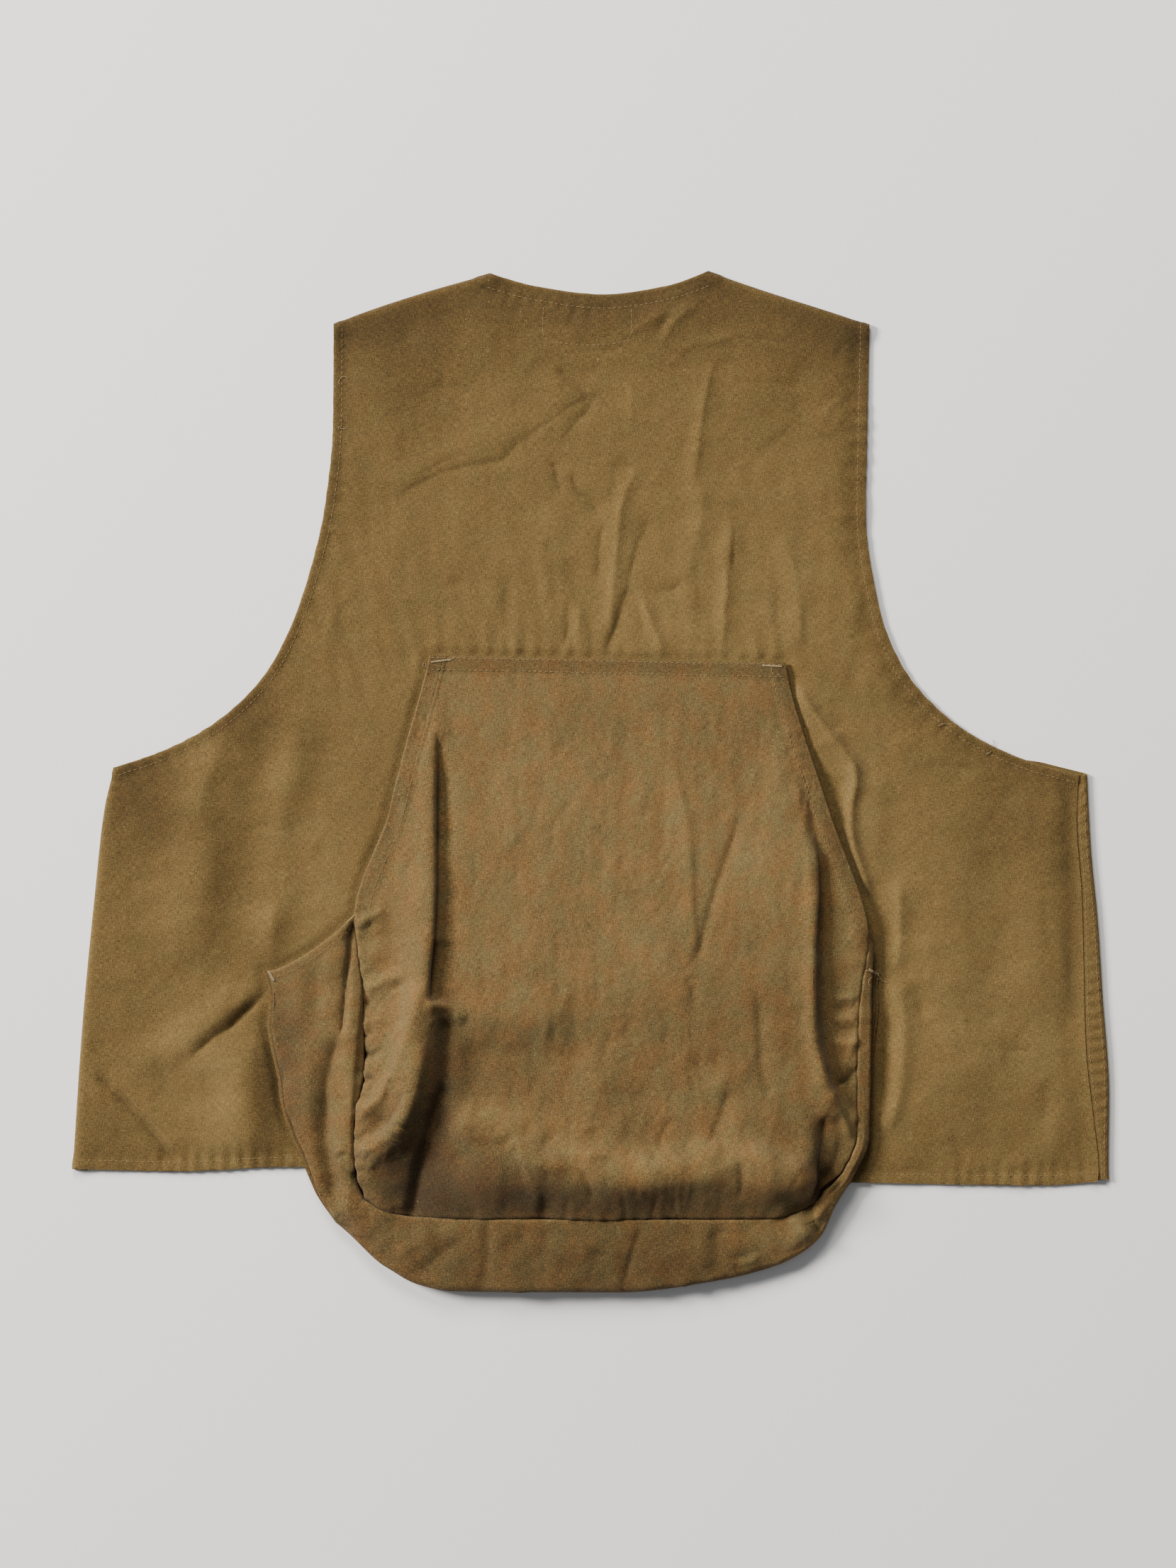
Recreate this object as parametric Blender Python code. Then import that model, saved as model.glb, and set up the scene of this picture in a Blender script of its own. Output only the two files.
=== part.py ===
"""Hunting vest laid face down, with a bellows game bag on its back.

The back lies on the two fronts. It rolls over the left side and the shoulders to meet them, and the
right front rolls up over the right side to meet the back at a felled seam. The bag's own back sheet
lies on the vest and hangs past the hem. Its face is raised over a hollow with a mouth at each side,
and a gusset, folded like bellows, closes it round the sides and the bottom.

Lengths are in millimetres until build_wall turns them into metres. +X is to the right as one looks
down on the back, +Y is towards the neck and +Z is up. Each sheet is the middle of its wall.
"""

import bpy
import numpy as np
from mathutils import Vector
from mathutils.geometry import delaunay_2d_cdt

MM = 0.001

# Driving sizes
CLOTH = 1.2  # wall of one layer of cotton duck
GAP = 0.3  # between pieces, at seams and between layers
ROLL = 1.6  # radius of the rolled side and shoulder folds
MARGIN = 8.0  # width that a rolled edge runs back underneath
ROLL_RISE = 14.0  # distance over which the back rises to a rolled fold
TUCK = 1.0  # radius of the inner fold of the gusset
HEM_CLEAR = 2.0  # the bag's back stays level this far past the hem
HEM_DROP = 18.0  # and then comes down to the floor over this distance
SLOPE_CLEAR = 9.0  # the gusset stays above the slope as far as this past it
SHEET_LIP = 2.0  # the bag's back shows this far outside the gusset
MOUTH_INSET = 5.0  # the bag's back ends this far inside the mouth edges
TOP_INSET = 10.0  # and this far below the face's sewn top edge
BAG_CLEAR = 7.0  # the vest's back stays level this far round the bag
BAG_RISE = 30.0  # and its folds reach their height over this distance
FRONT_INSET = 2.5  # the fronts' edges lie this far inside the back's
CORNER_POWER = 10.0  # how squarely the bag's bottom row turns at its corners

# Heights of the middle of each layer
FRONT_Z = CLOTH / 2
BACK_Z = FRONT_Z + CLOTH + GAP
SHEET_Z = BACK_Z + CLOTH + GAP
ROLLED_Z = FRONT_Z + 2 * ROLL
SEAM_Z = 3.2

# Spacing of the points
BACK_STEP = 20.0
EDGE_STEP = 15.0
FRONT_STEP = 72.0  # the fronts lie flat on the floor
NECK_STEP = 24.0
SHEET_STEP = 26.0
ROLL_TURNS = 5

# The garment's outline as it lies, clockwise from the left hem, each run through (x, y)
SIDE_LEFT = ((-351, -262), (-345, -171), (-336, -75), (-329.5, -18), (-323, 9.5))
ARMHOLE_LEFT = (
    (-323, 9.5), (-291, 20.5), (-254, 40), (-217, 78), (-192, 136), (-179, 193), (-174.5, 241), (-174, 310),
)
SHOULDER_LEFT = ((-174, 310), (-158, 316.5), (-113, 331.5), (-69, 344))
NECK = ((-69, 344), (-37, 335.5), (8, 330), (50, 335.5), (80, 345.5))
SHOULDER_RIGHT = ((80, 345.5), (118, 332.5), (168, 316.5), (188.5, 309.5))
ARMHOLE_RIGHT = (
    (188.5, 309.5), (187, 241), (186, 184), (195.5, 117), (211, 78), (246, 40), (280, 20.5), (303, 12), (330, 5),
)
SEAM_RIGHT = ((330, 5), (328.5, -25), (332, -75), (335, -181), (340, -227), (343.5, -262), (343, -270.5))
HEM = ((343, -270.5), (308, -273), (174, -271), (-206, -260.5), (-278, -263.5), (-351, -262))
# The right fold, where the front comes up past the seam
FOLD_RIGHT = ((336, 7), (338.5, -42), (343.5, -95), (346.5, -143), (351, -210), (350.5, -258), (351, -270.5))
PIT_REACH = 2.0  # the right front shows this far past the back's armhole at the armpit
PIT_START = 0.86  # share of the armhole's length where it comes out from under the back
PIT_EASE = 0.08  # and over which it does so
# The fronts' hidden edges: the V of the neck, as distances from the middle and heights, and the middle
FRONT_NECK = ((56, 296), (36, 222), (16, 156))
MIDDLE = ((5.5, 118), (0, -266))
FRONT_HEM_INSET = 1.0

# Soft folds that stand up from the back: from, to, half width, height
BACK_FOLDS = (
    # x0, y0, x1, y1, half width, height
    (-131, 189, 13, 270, 9, 2.4),
    (80, 262, 72, 208, 8, 2.2),
    (8, 198, -24, 224, 8, 1.8),
    (-64, 92, -92, 168, 12, 2.0),
    (-16, 88, -24, 190, 11, 2.6),
    (24, 88, 18, 182, 10, 2.4),
    (54, 86, 66, 176, 10, 2.2),
    (86, 86, 80, 160, 11, 2.0),
    (-206, 62, -282, -120, 30, 5.0),
    (-180, -20, -256, -170, 22, 4.2),
    (-222, -142, -310, -192, 12, 3.2),
    (-344, -196, -288, -254, 9, 2.4),
    (134, 50, 182, -4, 10, 3.0),
    (188, -10, 214, -196, 13, 5.4),
    (240, -20, 246, -226, 26, 4.4),
    (312, -8, 304, -158, 22, 4.2),
    (128, 300, 96, 236, 20, 2.6),
    (-150, 290, -128, 214, 22, 2.4),
)

# The bag's face: one row for each section across it, from the sewn top edge to the bottom seam.
# y at the left edge, y at the right edge, and how far the middle hangs below them
FACE_ROWS = (
    (85.5, 80.5, 0),
    (68.5, 65.5, 0),
    (25.5, 25.5, 0),
    (-22.5, -22.5, 0),
    (-89, -104.5, 0),
    (-142.5, -147.5, 0),
    (-190.5, -193, 0),
    (-238.5, -238.5, 0),
    (-265, -262, 3),
    (-281, -282, 13.5),
)
# x along each section: edge, side, crest, valley, left, middle, right, ridge, channel, far edge
FACE_X = (
    (-109, -103.5, -97.5, -91, -54.5, 8, 70, 108.5, 118, 131.5),
    (-113, -106.5, -99.5, -92, -54.5, 8, 73, 113.5, 123, 134.5),
    (-125, -115, -105, -94, -56, 8, 80, 128, 137.5, 146),
    (-137, -121.5, -106, -92, -56, 8, 85, 141.5, 150, 162),
    (-159, -131.5, -106, -91, -56, 8, 87, 145, 155, 187.5),
    (-154, -130.5, -110, -90.5, -54.5, 10, 87, 144, 156, 182),
    (-152.5, -133, -117, -99, -54.5, 12, 87, 152, 162, 180),
    (-160, -145, -130, -112, -57, 12, 85, 157, 170, 180),
    (-158.5, -150.5, -142, -121, -59, 12, 85, 152, 163, 171),
    (-153, -144, -135, -124.5, -64, 12, 85, 123, 138.5, 153),
)
# height along the same sections
FACE_Z = (
    (3.8, 3.8, 3.8, 3.8, 3.8, 3.8, 3.8, 3.8, 3.8, 3.8),
    (6.2, 6.3, 6.5, 6.4, 6.6, 6.8, 6.6, 6.4, 6.3, 6.2),
    (8.6, 9.8, 11.5, 9.8, 10.5, 11, 10.5, 10, 8.5, 8.2),
    (11.8, 14.5, 19, 14.5, 15.5, 16.5, 15.5, 15, 11, 11.5),
    (14, 19, 31, 20, 22, 24, 23, 24, 13.5, 12.8),
    (16, 23, 38, 26, 29, 31, 30, 30, 14.5, 15.5),
    (17, 25, 42, 25, 31, 33, 32, 30, 15, 16),
    (16, 24, 37, 24, 32, 34, 32, 27, 15, 15.5),
    (15, 20, 28, 21, 28, 29, 28, 23, 15.5, 14.5),
    (14, 16, 18, 19.5, 23, 24, 22, 19, 16, 13),
)
FACE_COLUMNS = (2, 2, 2, 2, 4, 4, 3, 1, 2)  # steps between neighbouring lines of a section
FACE_STEPS = (1, 3, 3, 5, 4, 3, 4, 2, 2)  # steps between neighbouring sections
SEAM_ROW = 4  # the section where the face's edges stop being mouths and are sewn to the gusset

# The gusset's sections, by their place along its seam with the face, from the left mouth round the
# bottom to the right mouth. facing is the way out from the face in degrees, slant how far the outer
# end lies further along, and the rest are distances out from the seam, the crown's height and the
# outer fold's radius.
GUSSET = (
    # place, facing, slant, crown, crown height, fold, fold radius, tuck, end
    (0.00, 180, 39, 16, 16, 60, 1.5, 50, 61),
    (0.08, 180, 19, 12, 19, 63, 1.5, 52, 64),
    (0.15, 181, 10, 22, 22, 55.5, 1.6, 44.5, 56.5),
    (0.22, 186, 4, 14, 21, 35, 2.0, 24, 37),
    (0.26, 200, 0, 12, 19, 28, 2.4, 18, 28),
    (0.285, 225, 0, 11, 17, 25.5, 3.0, 16, 24),
    (0.33, 246, 0, 16, 20, 39, 4.0, 27, 35),
    (0.352, 256, 0, 18, 22, 47, 4.6, 34, 42),
    (0.375, 264, 0, 20, 24, 50, 5.0, 37, 45),
    (0.53, 270, 0, 20, 25, 50, 5.0, 36, 45),
    (0.635, 271, 0, 17, 23, 41, 4.5, 28, 36),
    (0.69, 280, 0, 13, 20, 31, 4.0, 18, 26),
    (0.715, 296, 0, 10, 17, 23, 3.4, 11, 18),
    (0.735, 318, 0, 6, 14.5, 12.5, 2.8, 1, 9),
    (0.775, 342, 0, 3, 15, 5.5, 2.4, -6, 4.5),
    (0.81, 352, 0, 2, 15.5, 4, 2.4, -8, 4),
    (0.88, 360, 0, 3, 16, 8, 2.4, -7, 7.5),
    (0.94, 360, -6, 2.5, 15, 7, 2.2, -9, 10.5),
    (1.00, 360, -24, 1, 12.6, 3.5, 2.0, -14, 6),
)
GUSSET_STEPS = (2, 3, 4, 1, 3, 1)  # seam to crown, to fold, round it, to tuck, round it, to end
FOLD_START = np.radians(75)  # where the outer fold's arc takes over from the crown
SLANT_SHARE = 1.35  # the slant is complete before the section's end, about at its outer fold


def through(knots, values, at):
    """Values on smooth curves through the rows of values, which never swing past them."""
    knots = np.asarray(knots, float)
    values = np.asarray(values, float)
    shape = values.shape[1:]
    values = values.reshape(len(knots), -1)
    gaps = np.diff(knots)[:, None]
    rise = np.diff(values, axis=0) / gaps
    before = rise[:-1]
    after = rise[1:]
    near = 2 * gaps[1:] + gaps[:-1]
    far = gaps[1:] + 2 * gaps[:-1]
    turning = before * after <= 0
    parts = np.where(turning, 1.0, near * after + far * before)
    inner = np.where(turning, 0.0, (near + far) * before * after / parts)
    slope = np.concatenate([rise[:1], inner, rise[-1:]])
    at = np.asarray(at, float)
    i = np.clip(np.searchsorted(knots, at, side="right") - 1, 0, len(knots) - 2)
    gap = gaps[i]
    t = (at[:, None] - knots[i][:, None]) / gap
    ends = values[i] * (1 + 2 * t) * (1 - t) ** 2 + values[i + 1] * t**2 * (3 - 2 * t)
    leans = slope[i] * t * (1 - t) ** 2 - slope[i + 1] * t**2 * (1 - t)
    return (ends + gap * leans).reshape(-1, *shape)


def lengths(line):
    """Distance along a line, at each of its points."""
    return np.concatenate([[0.0], np.cumsum(np.linalg.norm(np.diff(line, axis=0), axis=1))])


def curve(points, step=None, count=None):
    """A smooth curve through the points, as evenly spaced points."""
    points = np.array(points, float)
    along = lengths(points)
    fine = through(along, points, np.linspace(0, along[-1], 40 * len(points)))
    along = lengths(fine)
    if count is None:
        count = max(1, round(along[-1] / step)) + 1
    places = np.linspace(0, along[-1], count)
    return np.stack([np.interp(places, along, column) for column in fine.T], axis=1)


def moved(line, distance):
    """The line moved to its left by distance, which may be one value for each point."""
    ahead = np.gradient(line, axis=0)
    left = np.stack([-ahead[:, 1], ahead[:, 0]], axis=1)
    left /= np.linalg.norm(left, axis=1)[:, None]
    return line + left * np.reshape(distance, (-1, 1))


def grown(loop, distance):
    """A closed loop, listed with its inside on the left, moved outwards."""
    round_again = np.concatenate([loop[-1:], loop, loop[:1]])
    return moved(round_again, -distance)[1:-1]


def crossing(a, b, c, d):
    """Where the line through a and b meets the line through c and d."""
    run = np.stack([b - a, c - d], axis=1)
    share = np.linalg.solve(run, c - a)[0]
    return a + share * (b - a)


def ringed(runs):
    """One closed loop from runs that follow each other, each run's ends moved to meet the next."""
    for run, following in zip(runs, runs[1:] + runs[:1]):
        meeting = crossing(run[-2], run[-1], following[0], following[1])
        run[-1] = meeting
        following[0] = meeting
    return np.concatenate([run[:-1] for run in runs])


def distance_to(loop, points):
    """Distance from each point to the line through a list of points."""
    start = loop[:-1][None]
    run = np.diff(loop, axis=0)[None]
    to = points[:, None] - start
    t = np.clip((to * run).sum(2) / (run * run).sum(2), 0, 1)
    return np.linalg.norm(to - t[..., None] * run, axis=2).min(1)


def inside(loop, points):
    """Whether each point lies inside a closed loop."""
    x, y = points[:, None, 0], points[:, None, 1]
    ax, ay = loop[None, :, 0], loop[None, :, 1]
    bx, by = np.roll(ax, -1, axis=1), np.roll(ay, -1, axis=1)
    level = np.where(by == ay, 1.0, by - ay)
    crosses = ((ay > y) != (by > y)) & (x < (bx - ax) * (y - ay) / level + ax)
    return crosses.sum(1) % 2 == 1


def closed(loop):
    return np.concatenate([loop, loop[:1]])


def eased(t):
    t = np.clip(t, 0, 1)
    return t * t * (3 - 2 * t)


def filled(outline, step, lines=()):
    """Triangles inside an outline, with rows of points inside it and edges along the lines."""
    low, high = outline.min(0), outline.max(0)
    chains = [closed(outline), *lines]
    points = []
    for number, y in enumerate(np.arange(low[1] + step / 2, high[1], step * np.sqrt(3) / 2)):
        start = low[0] + (number % 2) * step / 2
        points += [(x, y) for x in np.arange(start, high[0], step)]
    points = np.array(points)
    keep = inside(outline, points)
    for chain in chains:
        keep &= distance_to(chain, points) > 0.55 * step
    places = [*points[keep]]
    edges = []
    for chain in chains:
        first = len(places)
        places += [*chain]
        edges += [(first + i, first + i + 1) for i in range(len(chain) - 1)]
    corners, _, faces, sources, _, _ = delaunay_2d_cdt([Vector(place) for place in places], edges, [], 1, 1e-4)
    made = np.array([places[source[0]] if source else corner for corner, source in zip(corners, sources)])
    used = sorted({corner for face in faces for corner in face})
    number = {corner: i for i, corner in enumerate(used)}
    return made[used], [tuple(number[corner] for corner in face) for face in faces]


def grid_sheet(grid, flip=False):
    """A grid's points in rows and its squares, which face up where its columns run to the right."""
    rows, columns = grid.shape[:2]
    faces = []
    for i in range(rows - 1):
        for j in range(columns - 1):
            corner = i * columns + j
            faces.append((corner, corner + 1, corner + columns + 1, corner + columns))
    if flip:
        faces = [face[::-1] for face in faces]
    return grid.reshape(-1, 3), faces


def welded(sheets):
    """Sheets joined into one where their points meet, with each sheet's places in it."""
    points = np.concatenate([sheet[0] for sheet in sheets])
    _, first, index = np.unique(np.round(points, 3), axis=0, return_index=True, return_inverse=True)
    index = index.reshape(-1)
    faces = []
    places = []
    start = 0
    for sheet_points, sheet_faces in sheets:
        own = index[start:start + len(sheet_points)]
        faces += [tuple(int(own[corner]) for corner in face) for face in sheet_faces]
        places.append(own)
        start += len(sheet_points)
    return points[first], faces, places


def normals(points, faces):
    """The direction straight out of the sheet at each point."""
    total = np.zeros_like(points)
    for face in faces:
        corners = points[list(face)]
        total[list(face)] += np.cross(corners, np.roll(corners, -1, axis=0)).sum(0)
    return total / np.linalg.norm(total, axis=1)[:, None]


def build_wall(name, points, faces, out, material):
    """A closed wall, CLOTH thick, with the sheet in its middle."""
    count = len(points)
    corners = np.concatenate([points + out * CLOTH / 2, points - out * CLOTH / 2]) * MM
    edges = {(a, b) for face in faces for a, b in zip(face, face[1:] + face[:1])}
    rim = [(b, a, a + count, b + count) for a, b in sorted(edges) if (b, a) not in edges]
    under = [tuple(corner + count for corner in face[::-1]) for face in faces]
    mesh = bpy.data.meshes.new(name)
    mesh.from_pydata(corners.tolist(), [], [*faces, *under, *rim])
    mesh.materials.append(material)
    mesh.shade_smooth()
    mesh.set_sharp_from_angle(angle=np.radians(60))
    made = bpy.data.objects.new(name, mesh)
    bpy.context.scene.collection.objects.link(made)


def build_sheet(name, sheets, material):
    points, faces, _ = welded(sheets)
    build_wall(name, points, faces, normals(points, faces), material)


def cloth(name, colour):
    material = bpy.data.materials.new(name)
    material.use_nodes = True
    shader = material.node_tree.nodes["Principled BSDF"]
    shader.inputs["Base Color"].default_value = (*colour, 1)
    shader.inputs["Roughness"].default_value = 0.9
    shader.inputs["Metallic"].default_value = 0
    return material


def rolled(line, start_z, turn, last_line, last_z):
    """A grid that takes an edge over a rolled fold, on its left, and back to the last line.

    turn is 1 where the cloth comes up round the fold and -1 where it goes down.
    """
    outward = moved(line, 1) - line
    columns = []
    for angle in np.linspace(0, np.pi, ROLL_TURNS + 1):
        flat = line + outward * ROLL * np.sin(angle)
        height = start_z + turn * ROLL * (1 - np.cos(angle))
        columns.append(np.column_stack([flat, np.full(len(flat), height)]))
    columns.append(np.column_stack([last_line, np.full(len(last_line), last_z)]))
    return np.stack(columns, axis=1)


def fold_height(points, table):
    """Height of the soft folds at each place: rounded across, and fading out at both ends."""
    x, y = points.T
    total = np.zeros(len(x))
    for x0, y0, x1, y1, half_width, height in table:
        length = np.hypot(x1 - x0, y1 - y0)
        along = ((x - x0) * (x1 - x0) + (y - y0) * (y1 - y0)) / length
        aside = ((x - x0) * (y1 - y0) - (y - y0) * (x1 - x0)) / length
        fade = min(length / 2, 2.5 * half_width)
        ends = eased((along + fade / 2) / fade) * eased((length + fade / 2 - along) / fade)
        total += height * ends * np.exp(-((aside / half_width) ** 2))
    return total


def hem_y(x):
    table = np.array(HEM[::-1])
    return np.interp(x, table[:, 0], table[:, 1])


def sheet_height(points):
    """Middle of the bag's back: on the vest, and down on the floor past the hem."""
    past = hem_y(points[:, 0]) - HEM_CLEAR - points[:, 1]
    return SHEET_Z - (SHEET_Z - FRONT_Z) * np.clip(past / HEM_DROP, 0, 1)


def subdivided(knots, steps):
    """The knots with equal steps between neighbours."""
    places = [np.linspace(a, b, n, endpoint=False) for a, b, n in zip(knots, knots[1:], steps)]
    return np.concatenate([*places, knots[-1:]])


def face_grid():
    """The bag's face as a grid, by section from the top and by line from left to right."""
    across = np.array(FACE_X, float)
    rows = np.array(FACE_ROWS, float)
    share = (across - across[:, :1]) / (across[:, -1:] - across[:, :1])
    hang = rows[:, 2:] * (1 - np.abs(2 * share - 1) ** CORNER_POWER)
    y = rows[:, :1] + (rows[:, 1:2] - rows[:, :1]) * share - hang
    knots = np.stack([across, y, np.array(FACE_Z, float)], axis=2)
    line_places = across[SEAM_ROW]
    columns = through(line_places, knots.transpose(1, 0, 2), subdivided(line_places, FACE_COLUMNS))
    row_places = lengths(rows[:, :1])
    return through(row_places, columns.transpose(1, 0, 2), subdivided(row_places, FACE_STEPS))


def seam_line(face):
    """The face's sewn edge: down its left side, along the bottom and up its right side."""
    top = sum(FACE_STEPS[:SEAM_ROW])
    return np.concatenate([face[top:-1, 0], face[-1, :-1], face[:top - 1:-1, -1]])


def gusset_section(row, seam_z, rest):
    """Distances out and heights of one section of the gusset, from the seam to its sewn end."""
    _, _, _, crown, crown_z, fold, radius, tuck, end = row
    leg = rest + 2 * TUCK
    round_fold = np.linspace(FOLD_START, -np.pi / 2, GUSSET_STEPS[2] + 1)
    round_tuck = np.linspace(np.pi / 2, 1.5 * np.pi, GUSSET_STEPS[4] + 1)
    outer = np.column_stack([
        fold - CLOTH / 2 - radius + radius * np.cos(round_fold),
        leg + radius + radius * np.sin(round_fold),
    ])
    inner = np.column_stack([
        tuck + TUCK + TUCK * np.cos(round_tuck),
        rest + TUCK + TUCK * np.sin(round_tuck),
    ])
    knots = np.array([(0, seam_z), (crown, crown_z), outer[0]])
    top = through([0, 1, 2], knots, subdivided(np.arange(3.0), GUSSET_STEPS[:2]))
    return np.concatenate([top, outer[1:], inner, [(end, rest)]])


def gusset_grid(seam):
    """The gusset, one section for each point of its seam with the face."""
    table = np.array(GUSSET, float)
    place = lengths(seam[:, :2])
    rows = through(table[:, 0], table, place / place[-1])
    ahead = np.gradient(seam[:, :2], axis=0)
    ahead /= np.linalg.norm(ahead, axis=1)[:, None]
    sections = []
    for point, along, row in zip(seam, ahead, rows):
        angle = np.radians(row[1])
        outward = np.array([np.cos(angle), np.sin(angle)])
        under = point[:2] + outward * row[[5, 7, 8], None] + (0, SLOPE_CLEAR)
        rest = sheet_height(under).max() + CLOTH + GAP
        section = gusset_section(row, point[2], rest)
        travelled = lengths(section)
        slant = row[2] * np.clip(SLANT_SHARE * travelled / travelled[-1], 0, 1)
        flat = point[:2] + outward * section[:, :1] + along * slant[:, None]
        sections.append(np.column_stack([flat, section[:, 1]]))
    return np.array(sections)


def parted(gusset):
    """The gusset with its seam edge drawn back from the face."""
    toward = gusset[:, 1] - gusset[:, 0]
    gap = toward * GAP / np.linalg.norm(toward, axis=1)[:, None]
    return np.concatenate([(gusset[:, 0] + gap)[:, None], gusset[:, 1:]], axis=1)


def bag_loops(face, gusset):
    """The outline of the whole bag, and of its back, which ends inside the mouths."""
    top = sum(FACE_STEPS[:SEAM_ROW])
    layer = 1 + sum(GUSSET_STEPS[:2])
    lip = moved(gusset[:, -1, :2], -SHEET_LIP)
    left = np.concatenate([face[:top, 0, :2], gusset[0, :layer, :2]])
    right = face[:top, -1, :2]
    inner_left = moved(left, MOUTH_INSET)
    inner_right = moved(right, -MOUTH_INSET)
    inner_left[0, 1] -= TOP_INSET
    inner_right[0, 1] -= TOP_INSET
    whole = np.concatenate([left, lip, right[::-1]])
    back = np.concatenate([inner_left[:-1], lip, inner_right[::-1]])
    return whole, back


def build_bag(material):
    """The bag's face, gusset and back. Returns the outline of the whole bag."""
    face = face_grid()
    gusset = gusset_grid(seam_line(face))
    face_points, face_faces = grid_sheet(face, flip=True)
    gusset_points, gusset_faces = grid_sheet(gusset)
    points, faces, (on_face, on_gusset) = welded([(face_points, face_faces), (gusset_points, gusset_faces)])
    out = normals(points, faces)
    gusset_points = parted(gusset).reshape(-1, 3)
    build_wall("bag_face", face_points, face_faces, out[on_face], material)
    build_wall("bag_gusset", gusset_points, gusset_faces, out[on_gusset], material)
    whole, back = bag_loops(face, gusset)
    span = np.linspace(back[:, 0].min() - 1, back[:, 0].max() + 1, 2)
    level = np.column_stack([span, hem_y(span) - HEM_CLEAR])
    flat, faces = filled(back, SHEET_STEP, [level, level - (0, HEM_DROP)])
    build_sheet("bag_back", [(np.column_stack([flat, sheet_height(flat)]), faces)], material)
    return whole


def outline_run(points, inset=0.0):
    return moved(curve(points, EDGE_STEP), -inset)


def back_height(points, rolled_lines, seam, bag):
    """Middle of the vest's back: level round the bag, with its folds, rising to its rolled edges."""
    away = distance_to(closed(bag), points) * ~inside(bag, points)
    z = BACK_Z + eased((away - BAG_CLEAR) / BAG_RISE) * fold_height(points, BACK_FOLDS)
    for line, level in (*((line, ROLLED_Z) for line in rolled_lines), (seam, SEAM_Z)):
        near = eased(1 - distance_to(line, points) / ROLL_RISE)
        z += (level - z) * near
    return z


def build_back(bag, material):
    """The vest's back, with the margins that roll under at the left side and the shoulders."""
    fold_inset = ROLL + CLOTH / 2
    side = outline_run(SIDE_LEFT, fold_inset)
    shoulder_left = outline_run(SHOULDER_LEFT, fold_inset)
    shoulder_right = outline_run(SHOULDER_RIGHT, fold_inset)
    seam = outline_run(SEAM_RIGHT)
    outline = ringed([
        side, outline_run(ARMHOLE_LEFT), shoulder_left, outline_run(NECK),
        shoulder_right, outline_run(ARMHOLE_RIGHT), seam, outline_run(HEM),
    ])
    rolled_lines = (side, shoulder_left, shoulder_right)
    ring = grown(bag, BAG_CLEAR)
    past_hem = np.flatnonzero(~inside(outline, ring))
    ring = np.roll(ring, -past_hem[-1] - 1, axis=0)[:-len(past_hem)]
    flat, faces = filled(outline, BACK_STEP, [ring])
    z = back_height(flat, rolled_lines, seam, bag)
    sheets = [(np.column_stack([flat, z]), faces)]
    for line in rolled_lines:
        strip = rolled(line, ROLLED_Z, -1, moved(line, -MARGIN), FRONT_Z)
        sheets.append(grid_sheet(strip, flip=True))
    build_sheet("back", sheets, material)


def front_middle(side):
    """One front's neck and middle edge, down from the shoulder. side is -1 for the left one."""
    top = MIDDLE[0]
    neck = [(top[0] + side * reach, y) for reach, y in FRONT_NECK]
    edge = np.concatenate([curve([*neck, top], NECK_STEP), [MIDDLE[1]]])
    return edge + (side * GAP / 2, 0)


def build_front_left(material):
    """The left front, flat on the floor inside the back's rolled margins."""
    tucked = ROLL + CLOTH / 2 + MARGIN + GAP
    hem = outline_run(HEM, FRONT_HEM_INSET)
    outline = ringed([
        outline_run(SIDE_LEFT, tucked), outline_run(ARMHOLE_LEFT, FRONT_INSET),
        outline_run(SHOULDER_LEFT, tucked), front_middle(-1), hem[hem[:, 0] < MIDDLE[1][0] - EDGE_STEP],
    ])
    flat, faces = filled(outline, FRONT_STEP)
    build_sheet("front_left", [(np.column_stack([flat, np.full(len(flat), FRONT_Z)]), faces)], material)


def build_front_right(material):
    """The right front, which comes up round the right fold to the seam with the back."""
    tucked = ROLL + CLOTH / 2 + MARGIN + GAP
    armhole = curve(ARMHOLE_RIGHT, EDGE_STEP)
    share = np.linspace(0, 1, len(armhole))
    armhole = moved(armhole, (FRONT_INSET + PIT_REACH) * eased((share - PIT_START) / PIT_EASE) - FRONT_INSET)
    fold = outline_run(FOLD_RIGHT, ROLL + CLOTH / 2)
    hem = outline_run(HEM, FRONT_HEM_INSET)
    outline = ringed([
        front_middle(1)[::-1].copy(), outline_run(SHOULDER_RIGHT, tucked), armhole, fold,
        hem[hem[:, 0] > MIDDLE[1][0] + EDGE_STEP],
    ])
    flat, faces = filled(outline, FRONT_STEP)
    seam = moved(curve(SEAM_RIGHT, count=len(fold)), GAP)
    strip = rolled(fold, FRONT_Z, 1, seam, SEAM_Z)
    main_sheet = (np.column_stack([flat, np.full(len(flat), FRONT_Z)]), faces)
    build_sheet("front_right", [main_sheet, grid_sheet(strip, flip=True)], material)


def main():
    for old in list(bpy.data.objects):
        bpy.data.objects.remove(old)
    vest_cloth = cloth("Vest duck", (0.26, 0.16, 0.05))
    bag_cloth = cloth("Bag duck", (0.25, 0.15, 0.06))
    bag = build_bag(bag_cloth)
    build_back(bag, vest_cloth)
    build_front_left(vest_cloth)
    build_front_right(vest_cloth)


main()
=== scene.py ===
"""Looks of a cotton duck hunting vest laid face down, with a bellows game bag on its back.

The cloth follows the solids' forms with finer points, and adds creases, hems, puckers and sewing.
Lengths are in millimetres until a mesh is made. +X is to the right as one looks down on the back,
+Y is towards the neck and +Z is up. A sheet is the middle of its cloth.
"""

import bpy
import numpy as np
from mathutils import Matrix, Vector
from mathutils.bvhtree import BVHTree
from mathutils.geometry import delaunay_2d_cdt
from mathutils.kdtree import KDTree


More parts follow.
